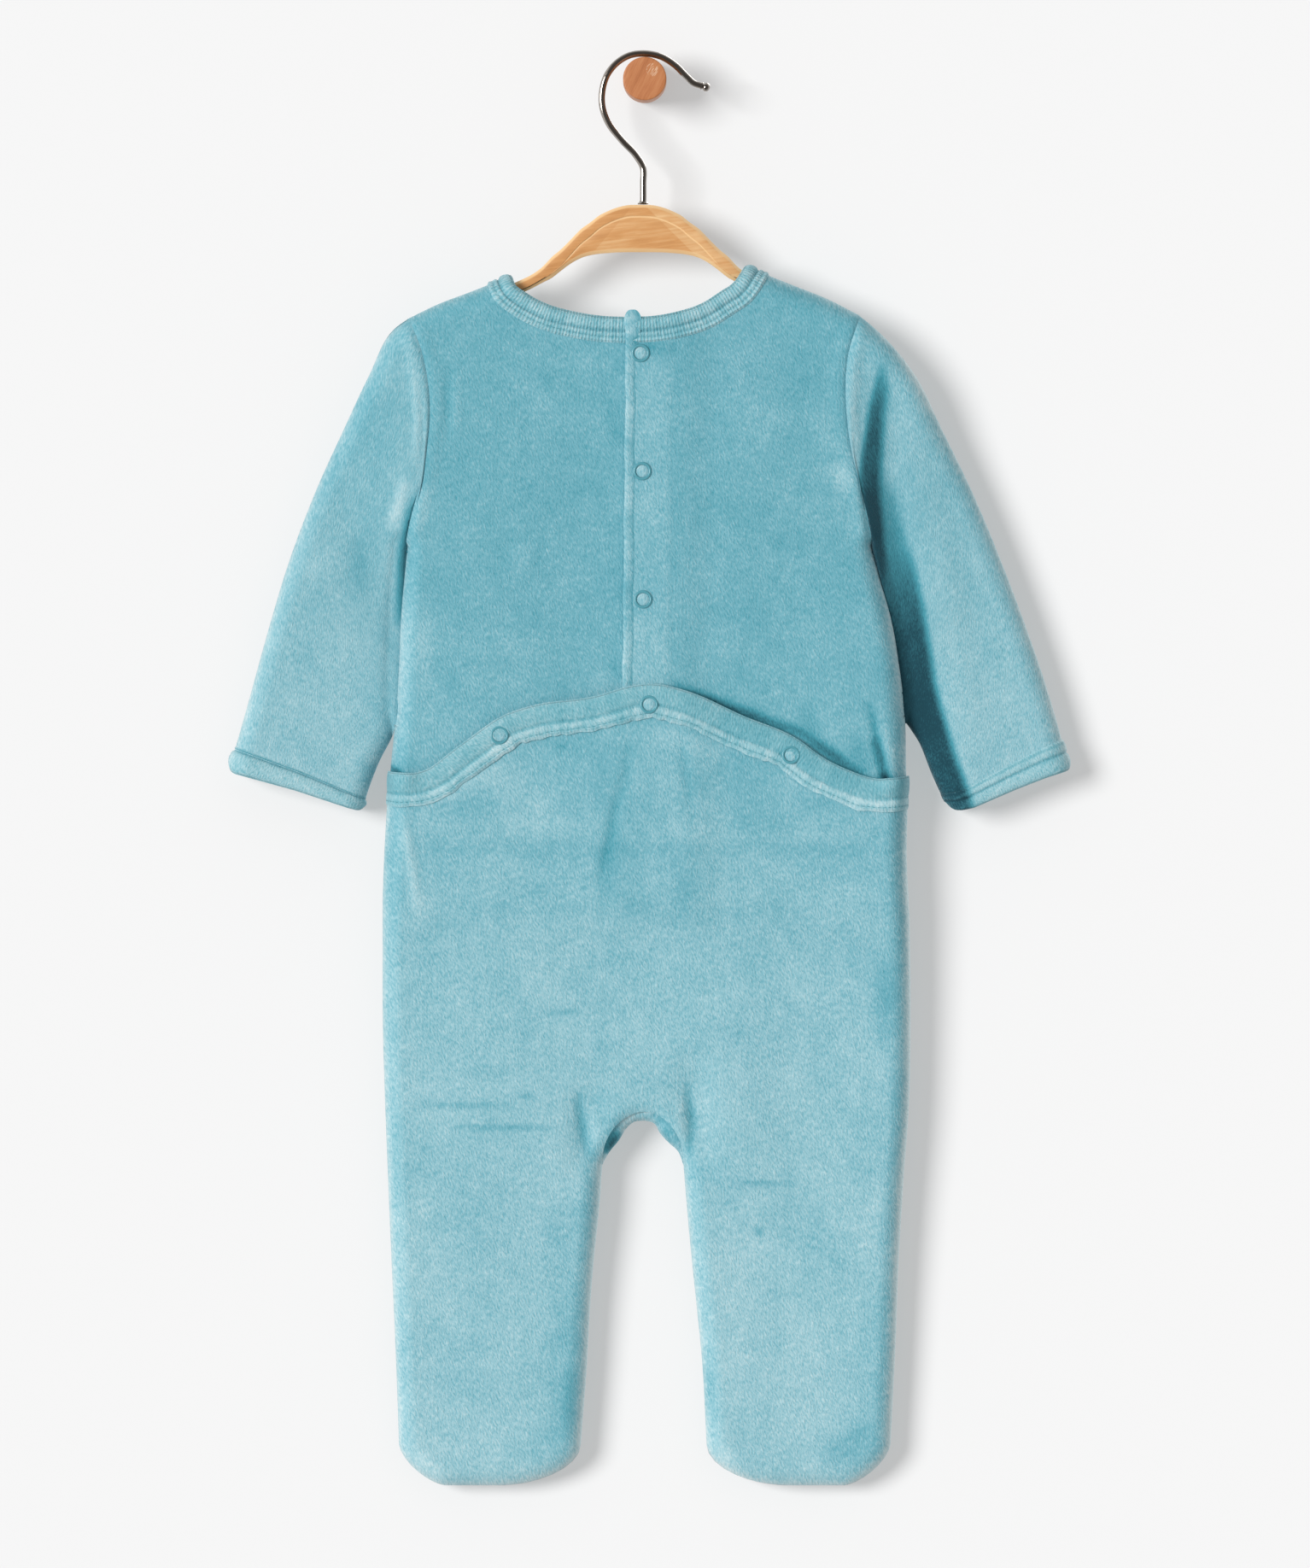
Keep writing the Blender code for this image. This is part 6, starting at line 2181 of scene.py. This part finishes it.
# The left sleeve: painted highlights on the ridge beside the armhole seam and along a fold below it, and
# painted shade in the line beside the body's edge.
SLEEVE_LEFT_BACK = marks(
    (2.4, 1, 0.5, 0, -123.4, 132, -118.9, 152, -116.8, 172, -117.8, 200),
    (3.2, 0.6, 0.9, 0, -122.5, 204, -127, 220, -131, 234),
    (14, 0, -0.35, 0, -150, 150, -140, 180, -134, 206), (7, 0, -0.55, 0, -148, 232, -148, 272),
    (8, 0, -0.3, 0, -159, 180, -168, 212), (9, 0.5, 0.2, 0, -150, 235, -172, 262),
    (5, 0, -0.5, 0, -140, 352, -146, 366),
    (2.6, -0.8, -2.5, 0, -117.8, 214, -121.4, 229, -124.2, 244, -125.2, 261, -126.8, 284),
)
# The right sleeve: a painted highlight on its shoulder's outer edge.
SLEEVE_RIGHT_BACK = marks(
    (5, 0, 0.9, 0, 133, 140, 143, 157, 150, 174),
    (2.2, 0.8, 0.35, 0, 112.5, 134, 108.5, 150, 107.5, 172, 109.5, 196, 111.5, 208),
    (8, -1.5, 0, 1, 121, 200, 127, 226, 134.5, 250, 142, 294, 148.5, 329, 161, 373),
    (7, 0.6, 0, 0, 146, 200, 157, 262, 167, 320, 173, 350),
)
SLEEVE_FRONT = marks(
    (7, 0.7, 0.3, 0, -140, 190, -170, 300), (7, 0.7, 0.3, 0, 148, 200, 175, 310),
)
# The body's cast shadow on the right sleeve, painted into the nap: its core beside the body's edge, and the
# whole of it.
SHADE_CORE = table(
    Shade,
    (142.1, 121.4, 124.1, 0), (157.5, 118.8, 125, -1.9), (166.3, 116.6, 124.1, -2.6),
    (179.5, 114.4, 122.8, -3.2), (192.7, 112.2, 122.3, -3.2), (205.9, 110.4, 121.4, -3),
    (219.1, 110.4, 121.4, -3.1), (232.3, 112.2, 122.8, -3), (241.1, 114, 123.6, -2.7),
    (249.9, 115.7, 124.6, -1.8), (267.1, 118.4, 126.4, 0),
)
SHADE_WHOLE = table(
    Shade,
    (199.3, 116.6, 123.6, 0), (219.1, 112.2, 130.7, -1), (232.3, 112.2, 133.3, -1.2),
    (241.1, 114, 135.5, -1.4), (249.9, 115.7, 138.6, -2), (258.7, 117.5, 140.4, -2.5),
    (267.5, 120.1, 142.3, -2.9), (285.1, 123.6, 145.4, -3.4), (298.3, 125.4, 147.6, -3.6),
    (311.5, 127.2, 149.3, -3.7), (329.1, 128, 153.8, -3.9), (346.7, 129.8, 159.2, -3.8),
    (366.5, 134.2, 166.2, -3.9), (376, 135.1, 169, -3.3), (388, 135.1, 170.5, -1.8),
)
LEFT_END = SleeveEnd((0, 0.5, 0.9, 1), (0, -0.6, 0.4, 0.2), 3.2, 2.6)
RIGHT_END = SleeveEnd((0, 0.2, 0.45, 0.65, 0.8, 0.9, 0.96, 1), (0, 0.2, 1.5, 3, 4.2, 3.7, 2.4, 1.2), 1.8, 5)
NECK_SECTION = BindingSection(0.50, 1.25, 0.75, 0.45, (0.50, 0.76), 1.1, 2.6, True, 0.5, 0.05, 0.15)
FLAP_SECTION = BindingSection(0.58, 0.85, 0.95, 0.4, (0.60, 0.86), 1, 0.55, True, 0.6, -0.3, 0.35)
LEFT_CUFF_SECTION = BindingSection(0.86, 1.4, 0.6, 1, (0.91,), 0.9, 2.4, False, 1.4)
RIGHT_CUFF_SECTION = BindingSection(0.52, 0.9, 0.9, 0.4, (0.56, 0.88), 0.9, 2.4, False, 0.7, 0.2, 0.3)


@dataclass
class Sleepsuit:
    """The whole garment, in the order in which its pieces lie."""

    front_parts: tuple[str, ...] = ("chest", "hips", "leg_left", "leg_right")
    upper_cut: tuple[tuple[float, float], float] = ((0.155, 0.300), 0.040)
    snaps: tuple[Snap, ...] = (
        Snap(1, -2.2, 141.6, Carrier.CLOSING),
        Snap(2, -1.3, 202.4, Carrier.CLOSING),
        Snap(3, -0.9, 268.4, Carrier.CLOSING),
        Snap(4, -74.8, 338.4, Carrier.FLAP),
        Snap(5, 2.2, 322.5, Carrier.FLAP),
        Snap(6, 75.2, 348.5, Carrier.FLAP),
    )

    def build_body(self) -> None:
        """Build the front, the crotch and the backs."""
        on_hanger = ("hanger_arm_wood",)
        on_front = ("front_panel_velour",)
        parts = tuple(f"front_panel_{part}" for part in self.front_parts)
        FrontPanel("front_panel", Face.FRONT, FRONT_MARKS, (0.300, 0.640), 0.156, on_hanger, parts).build()
        strip = ((0.012, 0.075), 0.0006)
        CrotchTurn("crotch_turn", Face.BACK, CROTCH_MARKS, *strip, on_front, lone=True).build()
        for side, folds in ((Side.LEFT, UPPER_LEFT_MARKS), (Side.RIGHT, UPPER_RIGHT_MARKS)):
            node = f"back_{side.name.lower()}_panel"
            UpperBack(node, Face.BACK, folds, *self.upper_cut, on_hanger + on_front, side=side).build()
        hung = ("back_left_panel_velour", "back_right_panel_velour") + on_front
        LowerBack("back_lower_panel", Face.BACK, LOWER_BACK_MARKS, (0.300, 0.430), 0.101, hung).build()

    def build_sleeves(self) -> None:
        """Build both sleeves with their cuff bands."""
        left = {Face.BACK: SLEEVE_LEFT_BACK, Face.FRONT: SLEEVE_FRONT}
        right = {Face.BACK: SLEEVE_RIGHT_BACK, Face.FRONT: SLEEVE_FRONT}
        shades = (SHADE_CORE, SHADE_WHOLE)
        sleeves = (
            Sleeve(Side.LEFT, left, LEFT_END, valley=2.5),
            Sleeve(Side.RIGHT, right, RIGHT_END, nap=0.02, shades=shades, snug=0.8),
        )
        cuffs = (
            (LEFT_CUFF_SECTION, 12.5, (0.0130, 0.176), 0.1),
            (RIGHT_CUFF_SECTION, 15, (0.0155, 0.166), 0.05),
        )
        for sleeve, (section, width, flat, nap) in zip(sleeves, cuffs):
            sleeve.build()
            word = sleeve.side.name.lower()
            node = f"cuff_{word}"
            looks = (f"sleeve_{word}_velour", TRIM, nap, True)
            CuffBand(node, "band", node, section, width, flat, *looks, sleeve).build()

    def build(self) -> None:
        """Build the body, the sleeves, the bindings and the snaps."""
        self.build_body()
        self.build_sleeves()
        rests = ("front_panel_velour", RIBBED_TRIM)
        NeckBinding("neck", "strip", "neck_binding", NECK_SECTION, 12.4, (0.0165, 0.372), *rests).build()
        ClosingEdge().build()
        rests = ("back_lower_panel_velour", TRIM, -0.25)
        FlapBinding("flap", "strip", "flap_binding", FLAP_SECTION, 16.5, (0.0205, 0.290), *rests).build()
        for snap in self.snaps:
            snap.build()


def main() -> None:
    """Build the hanger, the sleepsuit on it, and the studio."""
    logging.basicConfig(level=logging.INFO, format="%(message)s")
    WallPeg().build()
    HangerArm().build()
    hook = Hook()
    hook.build_wire()
    hook.build_ferrule()
    Sleepsuit().build()
    Studio().build()


if __name__ == "__main__":
    main()
